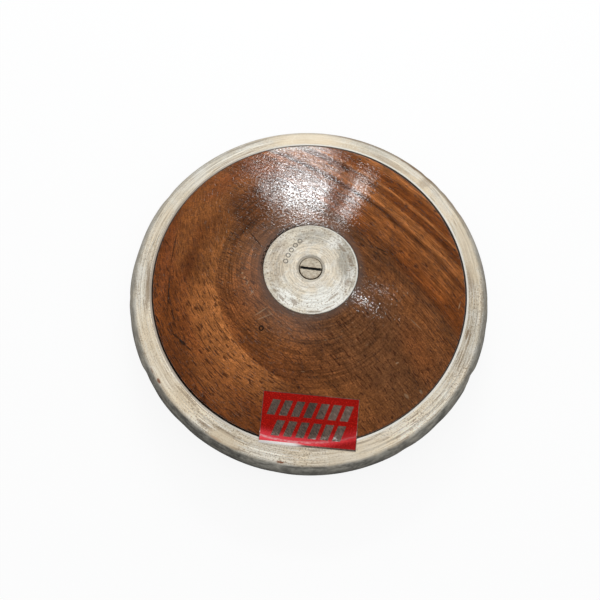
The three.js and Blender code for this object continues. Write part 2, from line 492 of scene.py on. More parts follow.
    def relief(self, *layers):
        """Bumps laid over each other: a height from 0 to 1, its distance in millimetres, its strength."""
        below = None
        for height, distance, strength in layers:
            made = self.node("ShaderNodeBump")
            self.fill(made, Strength=strength, Distance=distance * MM, Height=height)
            if below:
                self.feed(made.inputs["Normal"], below)
            below = made.outputs[0]
        return below

    def set(self, **inputs):
        """Feeds the surface's inputs and returns the material."""
        self.fill(self.surface, **inputs)
        return self.material


# Wood

# The board's grain: its direction in degrees, how its streaks bend, and in millimetres the middles and
# radii of the lighter wood's grain, the heart, the dark curl and the knot
ACROSS_GRAIN = 52
STREAK_BEND = 800
LEFT_GRAIN_CENTRE = (60, 60)
LEFT_GRAIN_RADIUS = 130
HEART_CENTRE = (10, -2)
HEART_RADIUS = 63.5
CURL_CENTRE = (-22, 10)
KNOT_CENTRE = (-25.8, -34.6)

# How far the lower side's noise is moved, so that its grain isn't the upper side's
LOWER_WOOD_SHIFT = 91


def streak_tones():
    """The board's streaks, as places across it in millimetres and their shades."""
    c = colours()
    mid, dark, pale, inner = c.wood, c.wood_dark, c.wood_pale, c.wood_inner
    return [
        (-95, between(mid, dark, 0.2)),
        (-72, mid),
        (-45, between(mid, inner, 0.5)),
        (-15, inner),
        (8, inner),
        (26, between(inner, mid, 0.4)),
        (34, between(inner, dark, 0.3)),
        (39.5, between(mid, dark, 0.3)),
        (42, mid),
        (50, between(mid, pale, 0.1)),
        (52.4, between(mid, dark, 0.2)),
        (54.4, between(mid, pale, 0.25)),
        (56.6, between(mid, pale, 0.35)),
        (57.9, between(mid, dark, 0.3)),
        (58.7, between(dark, mid, 0.15)),
        (59.7, between(dark, mid, 0.1)),
        (60.7, between(mid, dark, 0.4)),
        (62.2, between(mid, pale, 0.7)),
        (64.2, pale),
        (66, between(mid, pale, 0.45)),
        (68.4, between(mid, pale, 0.8)),
        (69.8, between(mid, dark, 0.25)),
        (71, between(mid, dark, 0.55)),
        (73, between(mid, dark, 0.3)),
        (74.6, between(mid, dark, 0.4)),
        (76.3, scaled(pale, 1.12)),
        (77.6, mid),
        (84, between(mid, dark, 0.15)),
        (86.5, between(mid, pale, 0.4)),
        (89.8, scaled(pale, 1.05)),
        (92, between(mid, dark, 0.3)),
        (95, mid),
    ]


def left_tones():
    """The lighter wood on the left, as places out from the heart's edge in millimetres and their shades."""
    c = colours()
    return [
        (0, scaled(c.wood_pale, 1.25)),
        (5, scaled(c.wood_pale, 1.12)),
        (14, between(c.wood_pale, c.wood, 0.55)),
        (20, between(c.wood, c.wood_red, 0.3)),
        (28, between(c.wood, c.wood_dark, 0.15)),
        (40, between(c.wood, c.wood_dark, 0.1)),
    ]


# Soft patches on the upper wood: x, y, half length, half width, turn, shade, its factor and weight
WOOD_PATCHES = (
    (-77, 20, 20, 6.5, 82, "wood_pale", 1.1, 0.5),
    (-68, 38, 9, 6, 60, "wood_pale", 1.1, 0.4),
    (-48, 4, 10, 6, 90, "wood_pale", 0.95, 0.28),
    (42, 22, 14, 6, -62, "wood_inner", 0.85, 0.45),
    (34, 3, 10, 5, 80, "wood_inner", 0.75, 0.4),
    (86, -4, 22, 4, 90, "wood_dark", 2, 0.32),
    (-50, -64, 22, 6, -47, "wood_pale", 1.08, 0.5),
    (-8, 56, 26, 16, 0, "wood_dark", 1.6, 0.45),
    (34, 63, 13, 6, -40, "wood_pale", 0.95, 0.4),
    (34, -4, 15, 8, -60, "wood_inner", 0.85, 0.4),
    (71, -30, 14, 6, -56, "wood_pale", 0.95, 0.3),
    (-54, 38, 16, 5, 72, "wood_dark", 2.1, 0.32),
    (-72, 46, 14, 7, 52, "wood_pale", 0.95, 0.4),
    (-46, 66, 22, 6, 14, "wood_red", 0.92, 0.6),
    (-61, 53, 9, 5, 30, "wood_red", 0.82, 0.6),
    (-37, 38, 15, 12, 130, "wood_dark", 1.5, 0.6),
    (-29, 57, 14, 9, 20, "wood_dark", 1.9, 0.3),
    (-38, 76, 16, 8, 25, "wood_dark", 2, 0.4),
    (-43, 60, 9, 6, 40, "wood_pale", 0.95, 0.35),
    (-86, 6, 26, 5, 90, "wood_red", 1, 0.5),
    (-71, 4, 7, 2.4, 85, "wood_dark", 1.4, 0.6),
    (-55, -34, 24, 8, -56, "wood_pale", 1.16, 0.6),
    (-38, -56, 18, 7, -50, "wood_pale", 1.08, 0.35),
    (-36, -79, 20, 8, -28, "wood_dark", 1.7, 0.35),
    (-70, -52, 16, 6, -50, "wood_dark", 1.8, 0.35),
    (-10, -60, 20, 9, -10, "wood_dark", 1.9, 0.35),
    (-36, -12, 16, 9, 80, "wood_red", 1, 0.35),
    (-36, -4, 9, 20, 0, "wood_pale", 1.1, 0.3),
    (-20, -34, 16, 8, -30, "wood_pale", 0.95, 0.25),
    (36, -22, 20, 13, -35, "wood_inner", 0.78, 0.55),
    (45, 32, 30, 8, -40, "wood_pale", 0.92, 0.28),
    (76, 4, 18, 7, -50, "wood_pale", 0.92, 0.34),
    (66, -20, 22, 3, -56, "wood_dark", 1.6, 0.15),
    (54, -14, 14, 6, -56, "wood_pale", 0.9, 0.3),
    (62, -46, 16, 7, -58, "wood", 1.1, 0.4),
    (20, -70, 22, 10, -10, "wood_pale", 0.85, 0.35),
)

# Small dark marks, cracks and knots: x, y, half length, half width, turn and weight
WOOD_CRACKS = (
    (-32.5, 17.6, 7, 0.4, -51, 0.75),
    (-52, 38, 4, 0.4, -40, 0.4),
    (-82.8, 14, 11, 0.45, 88, 0.65),
    (-82, -14, 13, 0.45, 94, 0.65),
    (-77, -29, 6, 0.5, -70, 0.5),
    (-87, 17, 5, 0.4, -50, 0.5),
    (-74, -39.6, 3.6, 0.55, -36, 0.8),
    (-70, -42.8, 2.4, 0.9, -35, 0.9),
    (-66, -46, 2.6, 0.5, -38, 0.8),
    (-87, -29.5, 3, 0.55, -55, 0.8),
    (-85, -36, 3, 0.45, -60, 0.7),
    (22, -55.5, 9.5, 0.3, -57, 0.3),
    (35, -69, 8.5, 0.4, -30, 0.3),
    (55.7, -53, 2.4, 0.8, 94, 0.45),
    (40.5, 14.3, 3.4, 0.6, -22, 0.75),
    (43, 11.8, 2.6, 0.5, -28, 0.65),
    (37.5, 12, 2, 0.4, -20, 0.5),
    (28, 53, 2.6, 0.9, -30, 0.7),
    (35, 48, 3.2, 0.7, -38, 0.5),
    (21, 74, 3, 0.8, -35, 0.6),
    (38, 62, 3, 0.7, -38, 0.5),
)

# Pale scratches and chips in the varnish: x, y, half length, half width, turn and weight
WOOD_SCRATCHES = (
    (-26.4, -25.6, 4, 0.3, 33, 0.45),
    (-24.6, -28.6, 4, 0.3, 22, 0.4),
    (-21.4, -26, 1.6, 0.3, -50, 0.3),
    (-37, -6.5, 0.8, 0.4, 60, 0.7),
    (-38.4, -3.6, 0.6, 0.5, 0, 0.6),
    (-35, -9.4, 1.2, 0.3, 70, 0.6),
    (-32, -15, 1.6, 0.3, 55, 0.5),
    (54.3, -67.2, 1.6, 0.8, -40, 0.3),
    (62.6, -64.7, 1.1, 0.7, -60, 0.3),
    (49, -50, 0.9, 0.4, 20, 0.5),
    (24, 10, 0.5, 0.4, 0, 0.7),
    (28, 1.5, 0.5, 0.4, 0, 0.5),
    (60, -28, 4, 0.25, -40, 0.35),
    (88, -15, 2, 0.3, 70, 0.5),
)


def streak_places(f):
    """The place across the board's bowed streaks and the place along them."""
    angle = math.radians(ACROSS_GRAIN)
    across = f.add(f.times(f.x, math.cos(angle)), f.times(f.y, math.sin(angle)))
    along = f.add(f.times(f.x, -math.sin(angle)), f.times(f.y, math.cos(angle)))
    bow = f.times(along, along, 1 / STREAK_BEND)
    wander = f.add(f.sway(30, 1.6, 1, 3), f.sway(6, 0.5, 2, 8))
    return f.add(f.add(across, bow), wander), along


def beyond_heart(f):
    """How far a place lies outside the board's heart, whose edge frays towards the back."""
    return f.add(
        f.distance(*HEART_CENTRE),
        f.fade(f.y, 22, 62, 0, -24),
        f.sway(12, 2.4, 2, 15),
        f.sway(3, f.fade(f.y, 15, 42, 0.4, 5), 3, 18),
        -HEART_RADIUS,
    )


def left_swirl(f, length, width):
    return f.swirl(LEFT_GRAIN_CENTRE, LEFT_GRAIN_RADIUS, length, width)


def left_wood(f, beyond):
    """The tone of the lighter wood on the left, darker towards the back."""
    tone = f.ramp(beyond, 0, 40, left_tones())
    tone = f.shaded(tone, f.noise(1, 3, place=left_swirl(f, 34, 3.2)), 0.35, 0.65, 0.16)
    return f.lighter(tone, f.fade(f.y, -24, 8, 0, -0.27))


def patched_wood(f, tone):
    """The upper side's own patches, and the dark curl at the left of the hub."""
    tone = f.spots(tone, WOOD_PATCHES, 1.4, 0.7)
    curl = f.add(f.distance(*CURL_CENTRE), f.sway(6, 3))
    curl = f.times(f.band(curl, 21.5, 24.5, 1.2), f.spot(-41, 20, 17, 9, 110, 1, 0))
    return f.mix(f.times(curl, 0.6), tone, scaled(colours().wood_dark, 1.2))


def grained(f, tone, streak, along, left, right):
    """Fibres along the grain, fine mottle and clouds. Left and right are the two woods' shares."""
    broad = f.noise(1, place=f.join(f.times(streak, 1 / 3.4), f.times(along, 1 / 40)))
    fibre = f.noise(1, 2, 0.6, place=f.join(f.times(streak, 1 / 0.65), f.times(along, 1 / 14)))
    left_fibre = f.noise(1, 2, 0.6, place=left_swirl(f, 4, 0.7))
    fibre = f.add(f.times(fibre, right), f.times(left_fibre, left))
    streaked = f.times(f.fade(streak, 5, 45, 0.5, 1), right)
    tone = f.lighter(tone, f.times(f.swing(broad), streaked, 0.14))
    fibre_share = f.larger(streaked, f.times(left, 0.6))
    tone = f.lighter(tone, f.times(f.swing(fibre), fibre_share, 0.28))
    even = f.times(f.fade(streak, 15, 50, 1, 0.5), f.fade(left, 0, 1, 1, 0.65))
    tone = f.shaded(tone, f.sway(0.7, even, 1, 21), -0.2, 0.2, 0.32)
    tone = f.shaded(tone, f.sway(2.2, even, 3, 24, 0.65), -0.2, 0.2, 0.15)
    return f.shaded(tone, f.noise(9, shift=27), 0.3, 0.7, 0.12)


def pored(f, streak, along, left, right):
    """How open the wood's pores are. They are short dark strokes along the grain."""
    right_place = f.join(f.times(streak, 1 / 0.6), f.times(along, 1 / 4), f.times(f.z, 0.3))
    right_pores = f.fade(f.noise(1, 0, shift=31, place=right_place), 0.64, 0.72)
    left_pores = f.fade(f.noise(1, 0, shift=31, place=left_swirl(f, 3.6, 0.6)), 0.6, 0.66)
    left_pores = f.times(left_pores, f.fade(f.y, 30, -20, 0.55, 1))
    return f.add(f.times(right_pores, right), f.times(left_pores, left))


def turning_marked(f, tone, turning, left):
    """The marks of turning, strongest near the hub and in front on the left, weak on the lighter wood."""
    share = f.times(
        f.fade(f.radius, 74, 52, 0.3, 1),
        f.fade(left, 1, 0, 0.25, 1),
        f.fade(f.sector(215, 75, 50), 0, 1, 0.4, 1),
    )
    tone = f.lighter(tone, f.times(f.fade(turning, 0.32, 0.68, -0.24, 0.24), share))
    nicks = f.fade(f.rings(5, 0.8, 2, 44), 0.66, 0.74)
    return f.mix(f.times(nicks, share, 0.4), tone, colours().turned_nick)


def hub_dirtied(f, tone):
    """Dull varnish and dirt round the hub plate."""
    c = colours()
    haze = f.times(f.fade(f.radius, 48, 30, 0, 0.24), f.sector(165, 95, 40))
    tone = f.mix(haze, tone, c.haze)
    tone = f.mix(f.fade(f.radius, 32, 27.5, 0, 0.62), tone, c.hub_dirt)
    crust = f.times(f.band(f.radius, 26.4, 28.2, 0.5), f.sector(146, 26, 24))
    crust = f.times(crust, f.fade(f.noise(1.1, shift=61), 0.42, 0.54), 0.9)
    return f.mix(crust, tone, c.gap)


def worn_wood_and_glare(f, tone):
    """The upper side's cracks, scratches and knot, and a painted highlight near its back edge."""
    c = colours()
    tone = f.spots(tone, WOOD_CRACKS, 0.8, 0.7, c.gap)
    tone = f.spots(tone, WOOD_SCRATCHES, 0.8, 0.7, c.scratch)
    tone = f.mix(f.band(f.distance(*KNOT_CENTRE), 0.7, 1.5, 0.35), tone, c.gap)
    # Painted highlight near the back edge of the wood.
    run = f.times(f.fade(f.radius, 87, 92), f.sector(97, 9, 5))
    run = f.times(run, f.fade(f.noise(1.2, shift=66), 0.4, 0.6, 0.2, 0.8))
    return f.mix(run, tone, c.edge_glare)


def hardwood_finish(side):
    """Varnished open-pored hardwood: streaks across the board, pores, turning marks, worn places, painted
    shade at its outer edge and, on the upper side, a painted highlight near the back.
    """
    upper = side == "upper"
    c = colours()
    f = Finish(f"{side}_hardwood", 0 if upper else LOWER_WOOD_SHIFT)
    streak, along = streak_places(f)
    beyond = beyond_heart(f)
    blur = f.fade(f.y, 22, 46, 2, 0.16)
    left = f.times(f.fade(f.times(beyond, blur), -1, 1), f.sector(197, 58, 12))
    right = f.fade(left, 1, 0)
    tone = f.ramp(streak, -95, 95, streak_tones())
    tone = f.mix(left, tone, left_wood(f, beyond))
    tone = f.lighter(tone, f.times(f.fade(f.radius, 74, 88, 0, 0.24), f.sector(146, 36, 20)))
    if upper:
        tone = patched_wood(f, tone)
    tone = grained(f, tone, streak, along, left, right)
    pores = pored(f, streak, along, left, right)
    tone = f.mix(f.times(pores, 0.8), tone, c.wood_dark)
    turning = f.rings(26, 0.85)
    tone = turning_marked(f, tone, turning, left)
    tone = hub_dirtied(f, tone)
    if upper:
        tone = worn_wood_and_glare(f, tone)
    # Painted shade at the wood's outer edge, beside the gap to the rim.
    tone = f.mix(f.fade(f.radius, 92.6, 93.3, 0, 0.4), tone, scaled(c.wood_dark, 0.5))

    ridges = f.times(f.noise(1.5, 1, 0.6, 70), f.fade(f.x, 5, 40, 1, 0.5))
    hollow = f.times(pores, -1)
    lumps = f.noise(1, 2, 0.6)
    rubbed = f.noise(0.9, 1, 0.7, 77)
    return f.set(
        Base_Color=tone,
        Roughness=f.fade(f.noise(14, 3, shift=50), 0.3, 0.7, 0.05, 0.075),
        Specular_IOR_Level=f.fade(rubbed, 0.42, 0.52, 0.25, 0.65),
        Normal=f.relief((hollow, 0.08, 0.6), (turning, 0.05, 0.5), (ridges, 0.23, 1)),
        Coat_Weight=f.fade(rubbed, 0.44, 0.54, 0.1, 1),
        Coat_Roughness=0.08,
        Coat_Normal=f.relief((lumps, 0.03, 1), (f.rings(9, 1.1, 2, 5), 0.015, 1), (hollow, 0.06, 0.8)),
    )


# Steel

# Marks on the rim's upper face: direction in degrees, radius, half length, half width, shade, weight
RIM_MARKS = (
    (92, 100, 26, 7, "steel_warm", 0.6),
    (66, 100.5, 10, 6, "steel_grey", 0.12),
    (58, 97, 13, 2.4, "grime", 0.35),
    (285, 100.5, 26, 5, "steel_warm", 0.45),
    (222, 100.5, 18, 5, "steel_warm", 0.5),
    (43, 101, 3.4, 6, "grime", 0.36),
    (50, 104.8, 1.6, 0.6, "rust", 0.9),
    (55, 105, 1, 0.6, "rust", 0.7),
    (218, 104, 1.7, 0.8, "rust", 0.9),
    (228, 96.8, 9, 0.7, "grime", 0.5),
    (214, 104.6, 1.6, 0.4, "rust", 0.6),
    (243, 104, 3, 0.7, "rust", 0.8),
    (238, 101.5, 6, 0.8, "grime", 0.6),
    (245, 99, 7, 1, "grime", 0.5),
    (245, 102, 9, 3.2, "steel_warm", 0.7),
    (263, 103.7, 2, 0.5, "rust", 0.9),
    (186, 96.3, 15, 1.4, "grime", 0.6),
    (341, 97, 3.6, 0.7, "grime", 0.75),
    (194, 107, 5, 1, "grime", 0.5),
    (309, 106, 5, 1, "grime", 0.4),
    (2, 97, 9, 2, "grime", 0.42),
    (205, 99, 20, 5, "steel_warm", 0.4),
    (33, 99.5, 10, 4, "steel_pale", 0.3),
    (50, 101.5, 9, 3, "steel_pale", 0.25),
    (140, 101, 16, 4, "steel_pale", 0.25),
    (160, 99.5, 12, 3, "steel_warm", 0.4),
    (12, 99.5, 22, 5, "steel_warm", 0.6),
    (116, 104, 22, 0.7, "grime", 0.35),
    (122, 97, 18, 0.6, "grime", 0.3),
)

# Painted light and shade on the rim's face, lighter and darker stretches by direction: direction and half
# angle in degrees, how much lighter
RIM_TONES = (
    (214, 16, 0.2),
    (270, 10, 0.08),
    (302, 16, 0.13),
    (2, 14, -0.09),
    (334, 10, -0.06),
    (88, 18, -0.09),
    (30, 8, 0.08),
)

# Long dirty or bare stretches of the rim's edge: direction, half angle, its inner radius, shade, weight
RIM_STRETCHES = (
    (40, 10, 104.6, "grime", 0.65),
    (62, 14, 104.8, "grime", 0.75),
    (236, 14, 105, "gap", 0.34),
    (208, 8, 105.5, "gap", 0.2),
)

# Turned lines round the rim's face: radius, half width, how much lighter or darker
RIM_LINES = (
    (96.2, 0.35, -0.14),
    (97.4, 0.25, 0.1),
    (98.7, 0.35, -0.2),
    (100.4, 0.3, 0.14),
    (101.2, 0.25, -0.12),
    (102.4, 0.25, 0.08),
    (104.3, 0.6, -0.2),
)


def rim_marks():
    """The rim's marks as rows for ovals."""
    for degrees, radius, long_by, wide_by, shade, weight in RIM_MARKS:
        turn = math.radians(degrees)
        x, y = radius * math.cos(turn), radius * math.sin(turn)
        yield x, y, long_by, wide_by, degrees + 90, shade, 1, weight


def rim_face_tone(f, radius, patches, broad, fine, speckle):
    """The rim's face: a pale bloom over broad and fine turned grooves, grime and rust, with painted light
    and shade by direction.
    """
    c = colours()
    cloud = f.noise(26, shift=12)
    tone = f.mix(f.fade(patches, 0.35, 0.65, 0, 0.5), c.steel, c.steel_pale)
    tone = f.mix(f.fade(cloud, 0.42, 0.66, 0, 0.6), tone, c.steel_warm)
    calm = f.fade(f.sector(72, 20, 14), 0, 1, 1, 0.4)
    tone = f.shaded(tone, broad, 0.3, 0.7, 0.09)
    tone = f.shaded(tone, f.times(f.add(fine, -0.5), calm), -0.2, 0.2, 0.22)
    for place, half, change in RIM_LINES:
        line = f.band(radius, place - half, place + half, 0.3)
        tone = f.lighter(tone, f.times(line, change, calm))
    inner_face = f.fade(f.sector(72, 30, 30), 0, 1, 0.3, 0.75)
    tone = f.mix(f.times(f.band(radius, 94.5, 99.5, 1), inner_face), tone, c.steel_warm)
    # Painted light and shade, lighter or darker by direction round the face.
    for degrees, half, change in RIM_TONES:
        tone = f.lighter(tone, f.times(f.sector(degrees, half, 14), change))
    gritty = f.times(f.fade(f.y, 70, -30, 0.35, 1), f.fade(cloud, 0.35, 0.6, 0.5, 1))
    tone = f.mix(f.times(gritty, f.fade(speckle, 0.52, 0.64, 0, 0.75)), tone, c.grime)
    tone = f.mix(f.fade(speckle, 0.46, 0.36, 0, 0.6), tone, c.steel_pale)
    scores = f.noise(1, 1, shift=90, place=f.swirl((0, 0), 100, 14, 0.6))
    tone = f.mix(f.times(f.fade(scores, 0.6, 0.68, 0, 0.6), calm), tone, c.grime)
    tone = f.mix(f.fade(scores, 0.4, 0.32, 0, 0.6), tone, c.steel_pale)
    return f.spots(tone, rim_marks(), 0.8, 0.9)


def rim_edge_tone(f, scuffs):
    """The bare grey steel of the worn edge, scuffed and knocked. Its dark grey is partly painted shade."""
    c = colours()
    tone = f.mix(f.fade(scuffs, 0.54, 0.66, 0, 0.7), c.steel_grey, scaled(c.steel_grey, 0.45))
    tone = f.mix(f.fade(scuffs, 0.44, 0.34, 0, 0.6), tone, scaled(c.steel_grey, 1.6))
    return f.shaded(tone, f.noise(1, 3, 0.6, place=f.stretched(0.14, 0.14, 0.6)), 0.36, 0.64, 0.4)


def rim_finish():
    """Weathered steel, with a worn grey edge that painted shade darkens towards the camera and low down."""
    c = colours()
    f = Finish("rim_steel")
    broad = f.rings(60, 2.2, 2, 40)
    fine = f.rings(20, 0.5, 3)
    speckle = f.noise(0.8, 3, 0.65)
    patches = f.noise(9, 3)
    radius = f.add(f.radius, f.sway(14, 1.2, 2, 31))
    tone = rim_face_tone(f, radius, patches, broad, fine, speckle)
    # Painted shade: the edge's dark grey is laid on most strongly on the side towards the camera.
    front = f.add(f.times(f.add(f.y, f.times(f.x, -0.08)), -1 / 220), 140 / 220)
    edge = f.times(f.fade(radius, 103.9, 105.6), front)
    scuffs = f.noise(1.6, 4, 0.7, place=f.stretched(1, 1, 1.6))
    tone = f.mix(f.times(edge, f.fade(patches, 0.3, 0.6, 0.8, 1)), tone, rim_edge_tone(f, scuffs))
    # Painted shade low on the edge, on the side towards the camera.
    low_edge_shade = f.times(f.band(f.z, 22.4, 25.6, 1.3), front, 0.5)
    tone = f.mix(low_edge_shade, tone, scaled(c.steel_grey, 0.3))
    for degrees, half, start, shade, weight in RIM_STRETCHES:
        stretch = f.times(f.sector(degrees, half, 12), f.fade(radius, start - 0.6, start + 0.6, 0, weight))
        tone = f.mix(f.times(stretch, f.fade(scuffs, 0.3, 0.6, 0.7, 1)), tone, getattr(c, shade))
    bevel = f.fade(f.radius, 95.3, 94.8)
    tone = f.mix(f.times(bevel, 0.8), tone, c.steel_pale)
    tone = f.mix(f.times(bevel, f.fade(f.x, -80, 0, 0.65, 0)), tone, c.grime)
    # Painted shade on the rim's bore, down in the gap round the wood.
    tone = f.mix(f.fade(f.radius, 94.2, 93.9), tone, c.gap)
    return f.set(
        Base_Color=tone,
        Metallic=0.1,
        Roughness=f.fade(patches, 0.3, 0.7, 0.42, 0.56),
        Normal=f.relief((broad, 0.05, 0.5), (fine, 0.05, 0.6), (speckle, 0.05, 0.5)),
    )


# Patches on the upper hub plate: x, y, half length, half width, turn, shade, its factor and weight
PLATE_PATCHES = (
    (0, 20, 10, 5, 0, "steel_grey", 1.5, 0.4),
    (20, 7, 15, 5, 100, "steel_grey", 1.3, 0.6),
    (13, 16, 5, 4, 40, "steel_pale", 1, 0.7),
    (22.5, -2, 3, 2, 90, "steel_pale", 1, 0.7),
    (9, -19, 14, 6.5, 12, "steel_pale", 1.1, 0.9),
    (-13, -18, 7, 3.5, -35, "steel_pale", 1.1, 0.85),
    (-19, 4, 14, 5.5, 88, "grime", 1.5, 0.25),
    (17, -10, 6, 4, 60, "steel_pale", 1.05, 0.6),
)

# Pits and dark corroded lines in the upper hub plate: x, y, half length, half width, turn and weight
PLATE_PITS = (
    (12.5, -16.5, 4.2, 0.5, 42, 0.6),
    (10, -22.5, 3.4, 0.5, 25, 0.5),
    (-8.6, -20, 2.6, 1.3, -50, 0.55),
    (-15.5, -18, 2.2, 0.8, -50, 0.6),
    (-19.5, -14, 1.6, 0.7, -50, 0.5),
    (2.5, -25.2, 3, 0.6, 5, 0.6),
    (17.5, 13, 3.4, 1, -50, 0.5),
    (22, 6, 3.4, 1, -70, 0.5),
    (20.5, -8, 2.6, 1.4, 70, 0.45),
    (19.5, -13, 0.7, 0.6, 0, 0.7),
    (21.5, -0.6, 1.2, 0.5, 20, 0.6),
    (0.3, 23.5, 0.9, 0.6, 0, 0.7),
    (6.5, 16.5, 0.6, 0.4, 30, 0.5),
    (-24, -4, 0.6, 0.6, 0, 0.5),
    (-22.5, -8.5, 0.6, 0.5, 0, 0.5),
)

LOWER_PLATE_SHIFT = 57

# The row of small punched rings on the upper plate: its two ends, how far it bows and each ring's radius
PUNCH_FIRST = (-6.6, 16.2)
PUNCH_LAST = (-14.2, 3.6)
PUNCH_BOW = (-0.9, 0.6)
PUNCH_COUNT = 5
PUNCH_RADIUS = 1.15


def punch_places():
    """The middles of the punched rings, along a row that bows away from the hub."""
    for i in range(PUNCH_COUNT):
        share = i / (PUNCH_COUNT - 1)
        bow = 4 * share * (1 - share)
        yield [a + (b - a) * share + c * bow for a, b, c in zip(PUNCH_FIRST, PUNCH_LAST, PUNCH_BOW)]


def plate_finish(side):
    """Turned steel with fine rings, a warm middle and corroded blotches towards the edge."""
    upper = side == "upper"
    c = colours()
    f = Finish(f"{side}_plate_steel", 0 if upper else LOWER_PLATE_SHIFT)
    rings = f.rings(40, 0.7)
    crust = f.noise(1.1, 3, 0.7, 4)
    tone = f.mix(f.fade(f.radius, 21, 9), c.steel, between(c.steel_pale, c.steel_warm, 0.65))
    tone = f.mix(f.fade(f.noise(4, 4, 0.65), 0.46, 0.6, 0, 0.45), tone, c.steel_pale)
    if upper:
        tone = f.spots(tone, PLATE_PATCHES, 0.8, 1.6)
        tone = f.spots(tone, PLATE_PITS, 0.8, 1.4, c.grime)
    tone = f.shaded(tone, rings, 0.3, 0.7, 0.2)
    outwards = f.fade(f.radius, 13, 22, 0.45, 1)
    pits = f.fade(f.noise(0.9, 2, 0.6, 14), 0.62, 0.7, 0, 0.6)
    tone = f.mix(f.times(outwards, f.fade(crust, 0.52, 0.64, 0, 0.7)), tone, c.grime)
    tone = f.mix(f.times(outwards, pits), tone, scaled(c.grime, 0.7))
    tone = f.mix(f.times(outwards, f.fade(crust, 0.42, 0.3, 0, 0.6)), tone, c.steel_pale)
    worn_edge = f.times(f.fade(f.radius, 25.6, 26), f.fade(f.x, -10, 20, 0.1, 0.75))
    tone = f.mix(worn_edge, tone, c.steel_pale)
    tone = f.mix(f.times(f.band(f.radius, 6.8, 8.2, 0.35), 0.4), tone, c.steel_grey)
    # Painted shade in the gap round the bolt's head, darkest on the side towards the camera.
    hole_shade = f.times(f.fade(f.radius, 6.95, 6.6), f.fade(f.y, 3, -3, 0.3, 0.95))
    tone = f.mix(hole_shade, tone, c.gap)
    if upper:
        for x, y in punch_places():
            mark = f.band(f.distance(x, y), PUNCH_RADIUS - 0.3, PUNCH_RADIUS + 0.3, 0.14)
            tone = f.mix(f.times(mark, f.fade(crust, 0.35, 0.6, 0.95, 0.6)), tone, scaled(c.grime, 0.16))
    return f.set(
        Base_Color=tone,
        Metallic=0.1,
        Roughness=f.fade(crust, 0.3, 0.7, 0.4, 0.6),
        Normal=f.relief((rings, 0.06, 0.6), (crust, 0.1, 0.6)),
    )


def bolt_finish():
    """Filed steel of the bolt and the nut, scratched by a screwdriver, with painted shade in the slot and
    round the head on the side towards the camera.
    """
    c = colours()
    s = sizes()
    f = Finish("bolt_steel")
    scratches = f.noise(1, 4, 0.6, place=f.stretched(0.3, 1.6, 1))
    blotches = f.noise(2.2, 3)
    filed = scaled(between(c.steel, c.steel_warm, 0.2), 0.86)
    tone = f.mix(f.fade(blotches, 0.4, 0.7, 0, 0.5), filed, c.grime)
    tone = f.shaded(tone, scratches, 0.3, 0.7, 0.14)
    tone = f.mix(f.fade(f.noise(0.8, 2, 0.6), 0.58, 0.68, 0, 0.6), tone, scaled(c.grime, 0.7))
    from_middle = f.math("ABSOLUTE", f.add(f.z, -s.half_thickness / MM))
    face = (s.half_thickness - s.seat_depth + s.head_thickness) / MM
    # Painted shade: stronger on the side towards the camera.
    towards_camera = f.fade(f.y, 3, -3, 0.25, 1)
    inside = f.larger(towards_camera, f.fade(f.radius, 5.9, 5.6))
    # Painted shade in the slot and on the head's side below its face.
    tone = f.mix(f.times(f.fade(from_middle, face - 0.12, face - 0.4), inside), tone, c.gap)
    # Painted shade on the head's outer rim towards the camera.
    tone = f.mix(f.times(f.fade(f.radius, 5.9, 6.2, 0, 0.6), towards_camera), tone, c.grime)
    return f.set(
        Base_Color=tone,
        Metallic=0.1,
        Roughness=f.fade(blotches, 0.3, 0.7, 0.4, 0.55),
        Normal=f.relief((scratches, 0.03, 0.6), (blotches, 0.04, 0.4)),
    )


def inner_steel_finish():
    """Oily turned steel of the tube and the balance washers."""
    steel = colours().inner_steel
    f = Finish("inner_steel")
    rings = f.rings(30, 0.8, 3)
    film = f.noise(6, 3)
    tone = f.mix(f.fade(film, 0.35, 0.7), steel, scaled(steel, 0.6))
    return f.set(
        Base_Color=f.shaded(tone, rings, 0.3, 0.7, 0.2),
        Metallic=0.8,
        Roughness=f.fade(film, 0.3, 0.7, 0.3, 0.5),
        Normal=f.relief((rings, 0.04, 0.6)),
    )


def peg_finish():
    """Pale unvarnished wood with its grain along the peg."""
    wood = colours().peg
    f = Finish("peg_wood")
    grain = f.noise(1, 3, place=f.stretched(2.6, 2.6, 0.2))
    return f.set(
        Base_Color=f.mix(f.fade(grain, 0.35, 0.7), wood, scaled(wood, 0.6)),
        Roughness=f.fade(grain, 0.3, 0.7, 0.55, 0.75),
        Normal=f.relief((grain, 0.08, 0.6)),
    )


# Pieces

# Facets round the axis
RIM_TURNS = 720
WOOD_TURNS = 360
PLATE_TURNS = 240
HEAD_TURNS = 96

# How far the shoulder of the edge is worn flat, and the width of face that its wear takes in
EDGE_WEAR_SHARE = 0.12
FACE_WEAR = 0.3 * MM
EDGE_ARC_STEPS = 36
FACE_STEP = 0.4 * MM

# Depths of the rim's wear in millimetres
GROOVE_DEPTH = 0.04
NICK_DEPTH = 0.22

